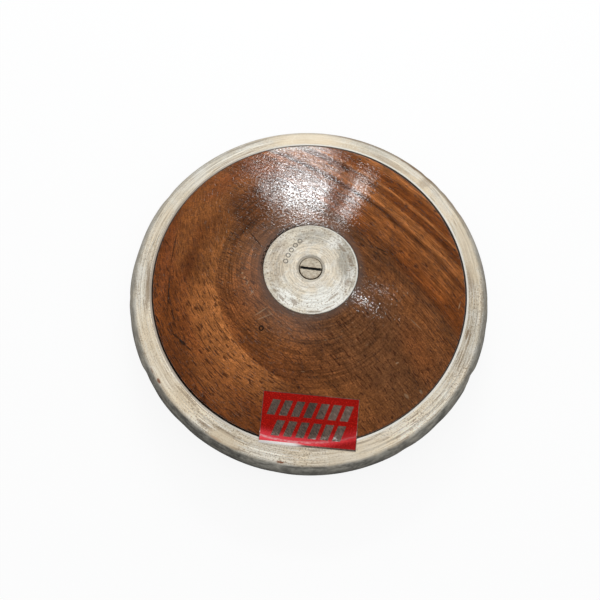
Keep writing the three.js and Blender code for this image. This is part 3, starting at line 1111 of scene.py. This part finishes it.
# Dents in the rim's edge: direction and half width in degrees, height, half height and depth in millimetres
RIM_DENTS = (
    (29, 2.2, 2, 3.5, 0.3),
    (33.5, 1.4, 1, 3, 0.2),
    (38, 1.6, 2.5, 3, 0.25),
    (45, 1.2, 2.5, 3, 0.3),
    (-6, 2, -1, 3, 0.25),
    (-14, 2.4, 1, 3, 0.2),
    (171, 7, 1, 4, 0.5),
    (217, 3.5, 1, 4, 0.4),
    (-30, 2, 1, 3, 0.9),
    (-33, 1.2, -1, 3, 0.7),
    (-48, 2.5, 1, 3, 0.2),
    (150, 2, 2, 3, 0.4),
    (188, 1.6, 1, 3, 0.25),
    (195, 2.4, 1, 3.5, 0.2),
    (213, 1.8, 1, 3, 0.5),
    (232, 3, -1, 3, 0.4),
    (262, 3, -2, 3, 0.4),
    (300, 2, -1, 3, 0.5),
)

# The smooth raised pad on the rim: its direction in degrees, and its radius and sizes in millimetres
PAD_AZIMUTH = 2.4
PAD_RADIUS = 104
PAD_HALF_WIDTH = 2.2
PAD_HALF_LENGTH = 2.7
PAD_RISE = 0.25


def rim_outline():
    s = sizes()
    bore = rim_bore()
    tongue_top = s.tongue_thickness / 2
    tongue_bore = bore - s.tongue_depth
    bevel_end = bore + s.bevel_width
    bevel_start = flank_height(bore) - s.bevel_drop
    reach = math.pi / 2 - flank_angle()
    arc = []
    for i in range(EDGE_ARC_STEPS + 1):
        angle = reach * (2 * i / EDGE_ARC_STEPS - 1)
        worn = s.edge_radius * (1 - EDGE_WEAR_SHARE * math.sin(2 * angle) ** 2)
        arc.append((edge_centre() + worn * math.cos(angle), worn * math.sin(angle)))
    face_end = edge_centre() - FACE_WEAR
    face = [(radius, flank_height(radius)) for radius in (face_end, bevel_end)]
    lower_face = [(radius, -height) for radius, height in reversed(face)]
    return [
        (tongue_bore, -tongue_top),
        (bore, -tongue_top),
        (bore, -bevel_start),
        *refined([*lower_face, arc[0]], FACE_STEP)[:-1],
        *arc,
        *refined([arc[-1], *face], FACE_STEP)[1:],
        (bore, bevel_start),
        (bore, tongue_top),
        (tongue_bore, tongue_top),
    ]


def rim_wear(radius, height, azimuth):
    """Turned grooves on the faces, dents and nicks in the edge, and one smooth raised pad."""
    s = sizes()
    over_tongue = np.clip((np.abs(height) - s.tongue_thickness / 2 - MM) / MM, 0, 1)
    on_face = over_tongue * (radius > rim_bore() + s.bevel_width)
    chatter = 0.6 + 0.4 * ripple(azimuth + radius / MM * 0.1, 2, 2)
    grooves = ripple(radius / MM * 2.6, 1) * chatter
    height = height + np.sign(height) * on_face * (grooves - 0.9) * GROOVE_DEPTH * MM
    edge = np.clip((radius - edge_centre()) / s.edge_radius, 0, 1)
    inward = np.zeros_like(radius)
    for degrees, half, level, tall, depth in RIM_DENTS:
        turn = turn_from(azimuth, degrees)
        inward += depth * MM * np.exp(-((turn / half) ** 2) - ((height / MM - level) / tall) ** 2)
    worn_side = np.exp(-((turn_from(azimuth, 0) / 45) ** 2)) * 0.75 + 0.25
    nicks = np.clip(ripple(np.degrees(azimuth) * 1.9 + height / MM * 0.6, 3, 7) - 0.35, 0, 1)
    inward += nicks * worn_side * NICK_DEPTH * MM
    inward *= edge
    slope = np.arctan2(height, np.maximum(radius - edge_centre(), 1e-6))
    radius = radius - inward * np.where(edge > 0, np.cos(slope), 0)
    height = height - inward * np.where(edge > 0, np.sin(slope), 0)
    pad_turn = np.radians(turn_from(azimuth, PAD_AZIMUTH)) * radius / (PAD_HALF_WIDTH * MM)
    pad_out = (radius / MM - PAD_RADIUS) / PAD_HALF_LENGTH
    pad = np.clip((1.15 - np.hypot(pad_turn, pad_out)) / 0.3, 0, 1) * (height > 0)
    return radius, height + pad * PAD_RISE * MM


# The rounded outer corner of the wood: how far in and how far below the flank, in millimetres
WOOD_ROUNDING = ((0, -0.25), (0.2, -0.06), (0.5, 0))

# Where the wood has shrunk: how far in its edge moves, the direction in which it shrank most, and the
# direction of the widest gap, in degrees
SHRUNK_REACH = 6 * MM
SHRUNK_WAY = ACROSS_GRAIN - 7
WIDE_GAP_WAY = 25

# The height over which the flank is uneven, and by how many millimetres
UNEVEN_START = 7 * MM
UNEVEN_DEPTH = 0.035


def wood_outline():
    s = sizes()
    hole = box_radius("hub_tube") + TURNED_FIT
    rebate = rim_bore() - s.tongue_depth - TURNED_FIT
    recess = s.plate_radius + TURNED_FIT
    tongue_top = s.tongue_thickness / 2
    ledge = s.half_thickness - s.plate_thickness
    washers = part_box("upper_balance_washer_2")[1][2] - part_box("upper_balance_washer_1")[0][2]
    floor = ledge - s.boss_depth - washers
    rounded = []
    for inset, drop in WOOD_ROUNDING:
        radius = s.wood_radius - inset * MM
        rounded.append((radius, flank_height(radius) + drop * MM))
    return [
        (hole, 0),
        (rebate, 0),
        (rebate, tongue_top),
        (s.wood_radius, tongue_top),
        *rounded,
        *refined([rounded[-1], (recess, flank_height(recess))], 1.2 * MM)[1:],
        (recess, ledge),
        (s.pocket_radius, ledge),
        (s.pocket_radius, floor),
        (hole, floor),
    ]


def wood_wear(radius, height, azimuth):
    """Shrinkage across the grain, and a flank that is a little uneven under its varnish."""
    s = sizes()
    outer = np.clip((radius - s.wood_radius + SHRUNK_REACH) / SHRUNK_REACH, 0, 1)
    shrunk = np.cos(np.radians(turn_from(azimuth, SHRUNK_WAY))) ** 2 * s.shrinkage
    shrunk = shrunk + (0.5 + 0.5 * np.cos(azimuth - math.radians(WIDE_GAP_WAY))) ** 4 * s.sideways
    flank = np.clip((height - UNEVEN_START) / MM, 0, 1) * (radius > s.plate_radius)
    x = radius * np.cos(azimuth) / MM
    y = radius * np.sin(azimuth) / MM
    uneven = ripple(x * 0.21 + 1, 1, 3) * ripple(y * 0.19 + 2, 2, 3)
    return radius - outer * shrunk, height + flank * (uneven - 1) * UNEVEN_DEPTH * MM


# The countersink, worn hollow, and the gap round the head in it, in millimetres
HEAD_GAP = 0.42
SINK_DEPTH = 0.9
SINK_STEPS = 7

# The depths of the plate's turned rings and of the nicks in its edge, in millimetres
PLATE_RING_DEPTH = 0.012
PLATE_NICK_DEPTH = 0.25


def plate_outline():
    s = sizes()
    top = s.half_thickness
    seat = top - s.seat_depth
    underside = top - s.plate_thickness
    boss = underside - s.boss_depth
    hole = s.shoulder_radius + TURNED_FIT
    bore = s.head_radius + HEAD_GAP * MM
    sink = []
    for i in range(1, SINK_STEPS + 1):
        share = i / SINK_STEPS
        sink.append((s.sink_radius - (s.sink_radius - bore) * share, top - SINK_DEPTH * MM * share**1.6))
    return [
        (hole, boss),
        (s.boss_radius, boss),
        (s.boss_radius, underside),
        (s.plate_radius, underside),
        (s.plate_radius, top - 0.25 * MM),
        *refined([(s.plate_radius - 0.3 * MM, top), (s.sink_radius + 0.3 * MM, top)], 0.5 * MM),
        *sink,
        (bore, seat),
        (hole, seat),
    ]


def plate_wear(radius, height, azimuth):
    """Shallow turned rings on the face and small nicks in the outer edge."""
    s = sizes()
    on_face = (height > s.half_thickness - 0.05 * MM) * (radius > s.sink_radius)
    rings = ripple(radius / MM * 3.1, 4)
    at_edge = np.clip((radius - s.plate_radius + 0.5 * MM) / (0.5 * MM), 0, 1)
    edge = at_edge * (height > s.half_thickness - MM)
    nicks = np.clip(ripple(np.degrees(azimuth) * 0.8, 5, 7) - 0.3, 0, 1)
    radius = radius - edge * nicks * PLATE_NICK_DEPTH * MM
    return radius, height - on_face * np.clip(1 - rings, 0, 2) * PLATE_RING_DEPTH * MM


# The rounded edge of a head: how far in and how far below the top, in millimetres
HEAD_ROUNDING = ((0, 0.45), (0.15, 0.18), (0.5, 0.03))

# How far the upper head sits to one side, in millimetres, and in which direction
HEAD_SHIFT = 0.24
HEAD_SHIFT_WAY = 80

# The length of the bolt's shoulder, the chamfer of its tip, and how far below its seat the nut's bore ends
SHOULDER_LENGTH = 8 * MM
SHANK_CHAMFER = 0.8 * MM
NUT_FLOOR = 3.5 * MM


def head_seat():
    return sizes().half_thickness - sizes().seat_depth


def head_outline():
    s = sizes()
    top = head_seat() + s.head_thickness
    return [
        (s.head_radius, head_seat()),
        *((s.head_radius - inset * MM, top - drop * MM) for inset, drop in HEAD_ROUNDING),
        *refined([(s.head_radius - 1.2 * MM, top), (0, top)], MM),
    ]


def bolt_outline():
    s = sizes()
    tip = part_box("centre_bolt")[0][2] - s.half_thickness
    shoulder_end = head_seat() - SHOULDER_LENGTH
    return [
        (0, tip),
        (s.shank_radius - SHANK_CHAMFER, tip),
        (s.shank_radius, tip + SHANK_CHAMFER),
        (s.shank_radius, shoulder_end),
        (s.shoulder_radius, shoulder_end),
        (s.shoulder_radius, head_seat()),
        *head_outline(),
    ]


def nut_outline():
    s = sizes()
    mouth = s.half_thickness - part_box("barrel_nut")[1][2]
    bore = s.shank_radius + TURNED_FIT
    floor = head_seat() - NUT_FLOOR
    return [
        (0, floor),
        (bore, floor),
        (bore, mouth),
        (s.shoulder_radius, mouth),
        (s.shoulder_radius, head_seat()),
        *head_outline(),
    ]


def head_wear(radius, height, azimuth):
    """The head sits a little to one side of its hole, so its dark gap shows on one side."""
    s = sizes()
    above = np.clip((height - s.half_thickness + s.seat_depth) / (0.2 * MM), 0, 1)
    way = np.cos(azimuth - math.radians(HEAD_SHIFT_WAY))
    return radius + HEAD_SHIFT * MM * way * above * radius / s.head_radius, height


# The directions of the two slots in degrees, and how the saw ran in them
SLOT_TURNS = {"upper": -5, "lower": 35}
SLOT_STEPS = 24
SAW_WANDER = 0.14 * MM


def cut_slot(head, side):
    """Cuts the hand-sawn slot, a little ragged along its sides."""
    s = sizes()
    half_length = s.head_radius + MM
    top = head_seat() + s.head_thickness
    low = top - s.slot_depth
    points = []
    for i in range(SLOT_STEPS + 1):
        x = half_length * (2 * i / SLOT_STEPS - 1)
        for flank, z in ((-1, low), (1, low), (1, top + MM), (-1, top + MM)):
            saw = SAW_WANDER * float(ripple(x / MM * 1.9 + flank, 6))
            points.append((x, flank * (s.slot_width / 2 + saw), z + (saw if z < top else 0)))
    last = 4 * SLOT_STEPS
    faces = [[0, 3, 2, 1], [last, last + 1, last + 2, last + 3]]
    for i in range(SLOT_STEPS):
        for k in range(4):
            a, b = 4 * i + k, 4 * i + (k + 1) % 4
            faces.append([a, b, b + 4, a + 4])
    mesh = bpy.data.meshes.new("slot_cutter")
    mesh.from_pydata(points, [], faces)
    mesh.transform(Matrix.Rotation(math.radians(SLOT_TURNS[side]), 4, "Z"))
    if side == "lower":
        mesh.transform(Matrix.Rotation(math.pi, 4, "X"))
    mesh.transform(Matrix.Translation((0, 0, s.half_thickness)))
    cutter = placed("slot_cutter", mesh)
    cut = head.modifiers.new("slot", "BOOLEAN")
    cut.operation = "DIFFERENCE"
    cut.solver = "EXACT"
    cut.object = cutter
    graph = bpy.context.evaluated_depsgraph_get()
    result = bpy.data.meshes.new_from_object(head.evaluated_get(graph))
    head.modifiers.clear()
    head.data = result
    bpy.data.objects.remove(cutter)
    smooth(result)


# The label's place, its tilt in degrees, its grid and its thickness
LABEL_OFFSET = 2 * MM
LABEL_OVERLAP = 0.95 * MM
LABEL_TILT = -3.3
LABEL_COLUMNS = 120
LABEL_ROWS = 62
LABEL_THICKNESS = 0.09 * MM

# How the foil lies over the flank, in millimetres. The ridge and the dip are where it crosses the rim's gap
FOIL_LIFT = 0.14
FOIL_RIDGE = 0.42
FOIL_DIP = 0.05
FOIL_CRINKLE = 0.045
FOIL_WAVE = 0.02


def label_centre():
    """The middle of the label in metres, seen from above."""
    return LABEL_OFFSET, -(rim_bore() + LABEL_OVERLAP - sizes().label_height / 2)


def label_lift(x, y):
    """How far the foil lies over the flank: it bridges the gap at the rim and is a little crinkled."""
    from_bore = (math.hypot(x, y) - rim_bore()) / MM
    ridge = FOIL_RIDGE * math.exp(-(((from_bore - 0.9) / 1.35) ** 2))
    dip = -FOIL_DIP * math.exp(-(((from_bore + 1.2) / 0.5) ** 2))
    at_rim = 1 / (1 + math.exp(-(from_bore + 3)))
    crinkle = FOIL_CRINKLE * float(ripple(x / MM * 0.9 + 0.3 * y / MM, 2, 4)) * at_rim
    wave = FOIL_WAVE * float(ripple(x / MM * 0.35, 3, 3) * ripple(y / MM * 0.5, 1, 3))
    return (FOIL_LIFT + ridge + dip + crinkle + wave) * MM


def label_mesh():
    """A thin sheet on a fine grid, bent over the flank."""
    s = sizes()
    tilt = math.radians(LABEL_TILT)
    centre_x, centre_y = label_centre()
    across, down = LABEL_COLUMNS + 1, LABEL_ROWS + 1
    points = []
    for layer in (0, 1):
        for row in range(down):
            for column in range(across):
                u = (column / LABEL_COLUMNS - 0.5) * s.label_width
                v = (row / LABEL_ROWS - 0.5) * s.label_height
                x = centre_x + u * math.cos(tilt) - v * math.sin(tilt)
                y = centre_y + u * math.sin(tilt) + v * math.cos(tilt)
                z = flank_height(math.hypot(x, y)) + label_lift(x, y) + layer * LABEL_THICKNESS
                points.append((x, y, z + s.half_thickness))
    top = across * down
    faces = []
    for row in range(LABEL_ROWS):
        for column in range(LABEL_COLUMNS):
            a = row * across + column
            faces.append([top + a, top + a + 1, top + a + 1 + across, top + a + across])
            faces.append([a, a + across, a + 1 + across, a + 1])
    border = list(range(across))
    border += [i * across + LABEL_COLUMNS for i in range(1, down)]
    border += [LABEL_ROWS * across + i for i in range(LABEL_COLUMNS - 1, -1, -1)]
    border += [i * across for i in range(LABEL_ROWS - 1, 0, -1)]
    for a, b in zip(border, border[1:] + border[:1]):
        faces.append([a, b, b + top, a + top])
    return points, faces


# The label's print: rows of slanted bars, as shares of the label's width and height from its middle
BAR_ROW_SHARES = (0.2, -0.19)
BAR_ROW_COUNTS = (7, 6)
BAR_HEIGHT_SHARE = 0.3
BAR_PITCH_SHARE = 0.126
BAR_WIDTH_SHARE = 0.084
BAR_SLANT = 0.35
PRINT_SOFT = 0.06


def printed_bars(f, u, v, width, height):
    """1 on the slanted bars of both rows."""
    pitch = BAR_PITCH_SHARE * width
    half_bar = BAR_WIDTH_SHARE * width / 2
    half_tall = BAR_HEIGHT_SHARE * height / 2
    bars = 0
    for share, count in zip(BAR_ROW_SHARES, BAR_ROW_COUNTS):
        level = f.add(v, -share * height)
        slanted = f.add(u, f.times(level, -BAR_SLANT))
        offset = 0 if count % 2 else pitch / 2
        wrapped = f.math("PINGPONG", f.add(slanted, 10 * pitch + offset), pitch / 2)
        bar = f.fade(wrapped, half_bar + PRINT_SOFT, half_bar - PRINT_SOFT)
        tall = f.band(level, -half_tall, half_tall, PRINT_SOFT)
        half_row = count * pitch / 2
        bars = f.larger(bars, f.times(bar, tall, f.band(slanted, -half_row, half_row, PRINT_SOFT)))
    return bars


def foil_finish():
    """Red metallised foil with bare silver bars and a thin silver border, and painted highlights where it
    bends over the rim and along its low edge.
    """
    c = colours()
    f = Finish("label_foil")
    centre_x, centre_y = label_centre()
    away = f.vector("SUBTRACT", f.place, (centre_x / MM, centre_y / MM, 0))
    u, v, unused = f.split(f.turned(away, LABEL_TILT))
    width = sizes().label_width / MM
    height = sizes().label_height / MM
    inset_u = f.add(f.times(f.math("ABSOLUTE", u), -1), width / 2)
    inset_v = f.add(f.times(f.math("ABSOLUTE", v), -1), height / 2)
    from_low_edge = f.add(v, height / 2)
    border = f.fade(f.math("MINIMUM", inset_u, inset_v), 0.34, 0.24)
    border = f.larger(border, f.fade(from_low_edge, 0.95, 0.8))
    silver = f.larger(printed_bars(f, u, v, width, height), border)

    weave = f.noise(0.7, 3, 0.6, place=f.stretched(1, 1.4, 1))
    red = f.shaded(c.foil, weave, 0.3, 0.7, 0.2)
    bare = f.mix(f.fade(weave, 0.4, 0.6), c.foil_print, scaled(c.foil_print, 0.4))
    tarnish = f.add(f.times(f.band(u, -4, 4, 4), -0.25), f.fade(u, 5, 12, 0, 0.3))
    bare = f.lighter(bare, f.times(tarnish, f.fade(v, -5, 2, 0.3, 1)))
    down = f.add(f.x, f.times(f.y, -1))
    hatch = f.noise(1, 1, place=f.join(f.times(f.add(f.x, f.y), 1.6), f.times(down, 0.25)))
    red = f.shaded(red, hatch, 0.3, 0.7, 0.12)
    bare = f.shaded(bare, hatch, 0.35, 0.65, 0.35)

    rubbed = f.noise(1, 3, shift=8, place=f.stretched(0.5, 1, 1))
    # Painted highlights where the foil bends over the rim: a pink band, a pale crease line and bright
    # flecks in the silver.
    bent = f.times(f.fade(f.radius, 87, 92.5), f.fade(f.radius, 96, 93.8, 0.5, 1))
    bent = f.times(bent, f.fade(u, 24, -12, 0.4, 1))
    red = f.mix(f.times(bent, f.fade(rubbed, 0.3, 0.7, 1, 0.7)), red, c.foil_bend_highlight)
    creased = f.times(f.band(f.radius, 92.2, 93.2, 0.35), f.fade(u, 22, -8, 0.3, 1))
    red = f.mix(f.times(creased, f.fade(rubbed, 0.35, 0.6, 0.1, 0.9)), red, c.foil_crease_highlight)
    glints = f.times(f.band(f.radius, 90.6, 93.4, 0.5), f.fade(rubbed, 0.5, 0.6))
    bare = f.mix(glints, bare, c.foil_glint)
    # Painted highlight: a white line along the left part of the low edge.
    low_edge_highlight = f.times(f.fade(from_low_edge, 1.5, 1.2), f.fade(u, -1, -8))
    return f.set(
        Base_Color=f.mix(low_edge_highlight, f.mix(silver, red, bare), c.foil_edge_highlight),
        # The painted highlights are made less metallic.
        Metallic=f.fade(f.larger(bent, low_edge_highlight), 0, 1, 0.55, 0.1),
        Roughness=f.fade(weave, 0.3, 0.7, 0.16, 0.3),
        Normal=f.relief((f.noise(3.4, 3, 0.6, 5), 0.16, 0.5), (weave, 0.02, 0.4)),
        Coat_Weight=0.5,
        Coat_Roughness=0.08,
    )


# Operators

def coat(made, material):
    made.data.materials.clear()
    made.data.materials.append(material)


def dress(made, material, node):
    """Gives a piece its finish and hides the CAD node that it stands for."""
    coat(made, material)
    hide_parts(node)


class DISCUS_OT_rim(bpy.types.Operator):
    """Turns the steel rim with its dents, nicks and grooves"""

    bl_idname = "discus.rim"
    bl_label = "Rim"

    def execute(self, context):
        made = turned_piece("rim_ring", rim_outline(), RIM_TURNS, rim_wear)
        dress(made, rim_finish(), "rim")
        return {"FINISHED"}


class DISCUS_OT_wood_sides(bpy.types.Operator):
    """Turns the two hardwood sides"""

    bl_idname = "discus.wood_sides"
    bl_label = "Wood sides"

    def execute(self, context):
        for side in SIDES:
            made = turned_piece(f"{side}_wood", wood_outline(), WOOD_TURNS, wood_wear, side)
            dress(made, hardwood_finish(side), f"{side}_wood_side")
        return {"FINISHED"}


class DISCUS_OT_hub_plates(bpy.types.Operator):
    """Turns the two hub plates"""

    bl_idname = "discus.hub_plates"
    bl_label = "Hub plates"

    def execute(self, context):
        for side in SIDES:
            made = turned_piece(f"{side}_plate", plate_outline(), PLATE_TURNS, plate_wear, side)
            dress(made, plate_finish(side), f"{side}_hub_plate")
        return {"FINISHED"}


class DISCUS_OT_bolt_and_nut(bpy.types.Operator):
    """Turns the centre bolt and the barrel nut and saws their slots"""

    bl_idname = "discus.bolt_and_nut"
    bl_label = "Bolt and nut"

    def execute(self, context):
        finish = bolt_finish()
        bolt = turned_piece("slotted_bolt", bolt_outline(), HEAD_TURNS, head_wear)
        cut_slot(bolt, "upper")
        dress(bolt, finish, "centre_bolt")
        nut = turned_piece("slotted_nut", nut_outline(), HEAD_TURNS, side="lower")
        cut_slot(nut, "lower")
        dress(nut, finish, "barrel_nut")
        return {"FINISHED"}


class DISCUS_OT_label(bpy.types.Operator):
    """Lays the foil label over the wood and the rim"""

    bl_idname = "discus.label"
    bl_label = "Label"

    def execute(self, context):
        points, faces = label_mesh()
        made = piece("foil_label", np.array(points), faces)
        dress(made, foil_finish(), "label_foil")
        return {"FINISHED"}


class DISCUS_OT_inner_parts(bpy.types.Operator):
    """Finishes the tube, the balance washers and the pegs"""

    bl_idname = "discus.inner_parts"
    bl_label = "Inner parts"

    def execute(self, context):
        steel = inner_steel_finish()
        finishes = {"peg": peg_finish(), "washer": steel, "tube": steel}
        for name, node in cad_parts.items():
            for part, finish in finishes.items():
                if part in name:
                    coat(node, finish)
        return {"FINISHED"}


# Stage

# The lens in millimetres, angles in degrees, and the point on the upper face that the camera aims at
CAMERA_LENS = 20.858
CAMERA_DISTANCE = 213.05 * MM
CAMERA_ELEVATION = 74.006
CAMERA_ROLL = 2.134
CAMERA_AIM = (-5.34 * MM, -12.46 * MM)

# The lamps' shade of white, a little cool like a window's
DAYLIGHT = (0.93, 0.98, 1)

# Soft lamps: name, azimuth and elevation in degrees, width and height in metres, brightness
LAMP_DISTANCE = 1
LAMPS = (
    ("upper_pane", -1, 33.75, 0.27, 0.069, 23.5),
    ("left_pane", -13.2, 33.8, 0.17, 0.08, 8),
    ("window_bar", -6, 28.6, 0.48, 0.075, 0.9),
    ("lower_pane", -1.5, 24.2, 0.3, 0.09, 4.4),
    ("side_pane", 19.3, 33.9, 0.066, 0.115, 12),
    ("ceiling_lamp", 0, 85, 0.35, 0.2, 3),
    ("far_lamp", 82, 60, 0.024, 0.024, 80),
    ("second_far_lamp", 71, 53, 0.015, 0.015, 50),
)

# The soft light round the discus: brightest overhead and behind, dim low in front
AMBIENT_LEAN = 0.15
AMBIENT_REACH = (0, 0.9)
AMBIENT_LOW = 0.06
AMBIENT_HIGH = 1.13

# The white that glossy rays see near the horizon, and how little of it is left overhead
GLOSS_REACH = (0.1, 0.42)
OVERHEAD_GLOSS = 0.06

# The floor's half width in metres, the grey that it throws back, and how strongly its shadow shows
FLOOR_HALF = 3
FLOOR_SHADE = 0.2
FLOOR_SHADOW_SHARE = 0.16


def make_camera():
    """Stands where the photograph was taken: close above the discus, nearly straight down."""
    elevation = math.radians(CAMERA_ELEVATION)
    roll = math.radians(CAMERA_ROLL)
    back = Vector((0, -math.cos(elevation), math.sin(elevation)))
    right = Vector((1, 0, 0))
    up = Vector((0, math.sin(elevation), math.cos(elevation)))
    turned_right = right * math.cos(roll) + up * math.sin(roll)
    turned_up = up * math.cos(roll) - right * math.sin(roll)
    data = bpy.data.cameras.new("camera")
    data.sensor_width = 36
    data.lens = CAMERA_LENS
    data.clip_start = 0.01
    camera = placed("camera", data)
    place = Matrix((turned_right, turned_up, back)).transposed().to_4x4()
    place.translation = Vector((*CAMERA_AIM, sizes().half_thickness)) + back * CAMERA_DISTANCE
    camera.matrix_world = place
    bpy.context.scene.camera = camera


def soft_light(name, azimuth, elevation, width, height, brightness):
    """A soft rectangle of light that faces the discus. Azimuth 0 is behind it, towards +Y."""
    turn, rise = math.radians(azimuth), math.radians(elevation)
    way = Vector((math.sin(turn) * math.cos(rise), math.cos(turn) * math.cos(rise), math.sin(rise)))
    data = bpy.data.lights.new(name, "AREA")
    data.shape = "RECTANGLE"
    data.size = width
    data.size_y = height
    data.energy = brightness * math.pi * width * height
    data.color = DAYLIGHT
    light = placed(name, data)
    light.location = way * LAMP_DISTANCE
    light.rotation_mode = "QUATERNION"
    light.rotation_quaternion = way.to_track_quat("Z", "Y")


def empty_tree(owner):
    """The cleared node tree of a world or a material."""
    owner.use_nodes = True
    owner.node_tree.nodes.clear()
    return Nodes(owner.node_tree)


def make_world():
    """White for the camera, for metal and for glass, and a soft light that is stronger from behind."""
    world = bpy.data.worlds.new("studio")
    bpy.context.scene.world = world
    nodes = empty_tree(world)
    unused, back, up = nodes.split(nodes.node("ShaderNodeTexCoord").outputs["Generated"])
    rays = nodes.node("ShaderNodeLightPath").outputs
    lean = nodes.math("MULTIPLY_ADD", back, AMBIENT_LEAN, up)
    ambient = nodes.fade(lean, *AMBIENT_REACH, AMBIENT_LOW, AMBIENT_HIGH)
    reflected = nodes.fade(up, *GLOSS_REACH, 1, OVERHEAD_GLOSS)
    seen = nodes.larger(rays["Is Camera Ray"], rays["Is Transmission Ray"])
    strength = nodes.mix(rays["Is Glossy Ray"], ambient, reflected, "FLOAT")
    strength = nodes.mix(seen, strength, 1, "FLOAT")
    background = nodes.shader("Background", Strength=strength)
    nodes.fill(nodes.node("ShaderNodeOutputWorld"), background)


def make_floor():
    """A pale floor that shows the discus's shadow on near white."""
    mesh = bpy.data.meshes.new("floor")
    corners = ((-1, -1), (1, -1), (1, 1), (-1, 1))
    mesh.from_pydata([(x * FLOOR_HALF, y * FLOOR_HALF, 0) for x, y in corners], [], [[0, 1, 2, 3]])
    floor = placed("floor", mesh)
    material = bpy.data.materials.new("pale_floor")
    nodes = empty_tree(material)
    paint = nodes.shader("BsdfDiffuse", Color=(FLOOR_SHADE, FLOOR_SHADE, FLOOR_SHADE))
    shadowed = nodes.shader("BsdfDiffuse", Color=(1, 1, 1))
    shown = nodes.shader("MixShader", FLOOR_SHADOW_SHARE, nodes.shader("Emission"), shadowed)
    camera_ray = nodes.node("ShaderNodeLightPath").outputs["Is Camera Ray"]
    chosen = nodes.shader("MixShader", camera_ray, paint, shown)
    nodes.fill(nodes.node("ShaderNodeOutputMaterial"), chosen)
    mesh.materials.append(material)


class DISCUS_OT_stage(bpy.types.Operator):
    """Sets up the camera, the soft lights and the pale floor"""

    bl_idname = "discus.stage"
    bl_label = "Stage"

    def execute(self, context):
        context.scene.view_settings.view_transform = "Standard"
        make_camera()
        make_world()
        make_floor()
        for lamp in LAMPS:
            soft_light(*lamp)
        return {"FINISHED"}


class DISCUS_PT_panel(bpy.types.Panel):
    """Lists the discus's pieces"""

    bl_idname = "DISCUS_PT_panel"
    bl_label = "Discus"
    bl_space_type = "VIEW_3D"
    bl_region_type = "UI"
    bl_category = "Discus"

    def draw(self, context):
        for operator in OPERATORS:
            self.layout.operator(operator.bl_idname)


OPERATORS = (
    DISCUS_OT_stage,
    DISCUS_OT_rim,
    DISCUS_OT_wood_sides,
    DISCUS_OT_hub_plates,
    DISCUS_OT_bolt_and_nut,
    DISCUS_OT_label,
    DISCUS_OT_inner_parts,
)
CLASSES = (DiscusSizes, DiscusColours, *OPERATORS, DISCUS_PT_panel)


def register():
    for made in CLASSES:
        bpy.utils.register_class(made)
    bpy.types.Scene.discus_sizes = PointerProperty(type=DiscusSizes)
    bpy.types.Scene.discus_colours = PointerProperty(type=DiscusColours)


def unregister():
    del bpy.types.Scene.discus_sizes
    del bpy.types.Scene.discus_colours
    for made in reversed(CLASSES):
        bpy.utils.unregister_class(made)


def main():
    register()
    bpy.ops.discus.stage()
    bpy.ops.discus.rim()
    bpy.ops.discus.wood_sides()
    bpy.ops.discus.hub_plates()
    bpy.ops.discus.bolt_and_nut()
    bpy.ops.discus.label()
    bpy.ops.discus.inner_parts()


if __name__ == "__main__":
    main()
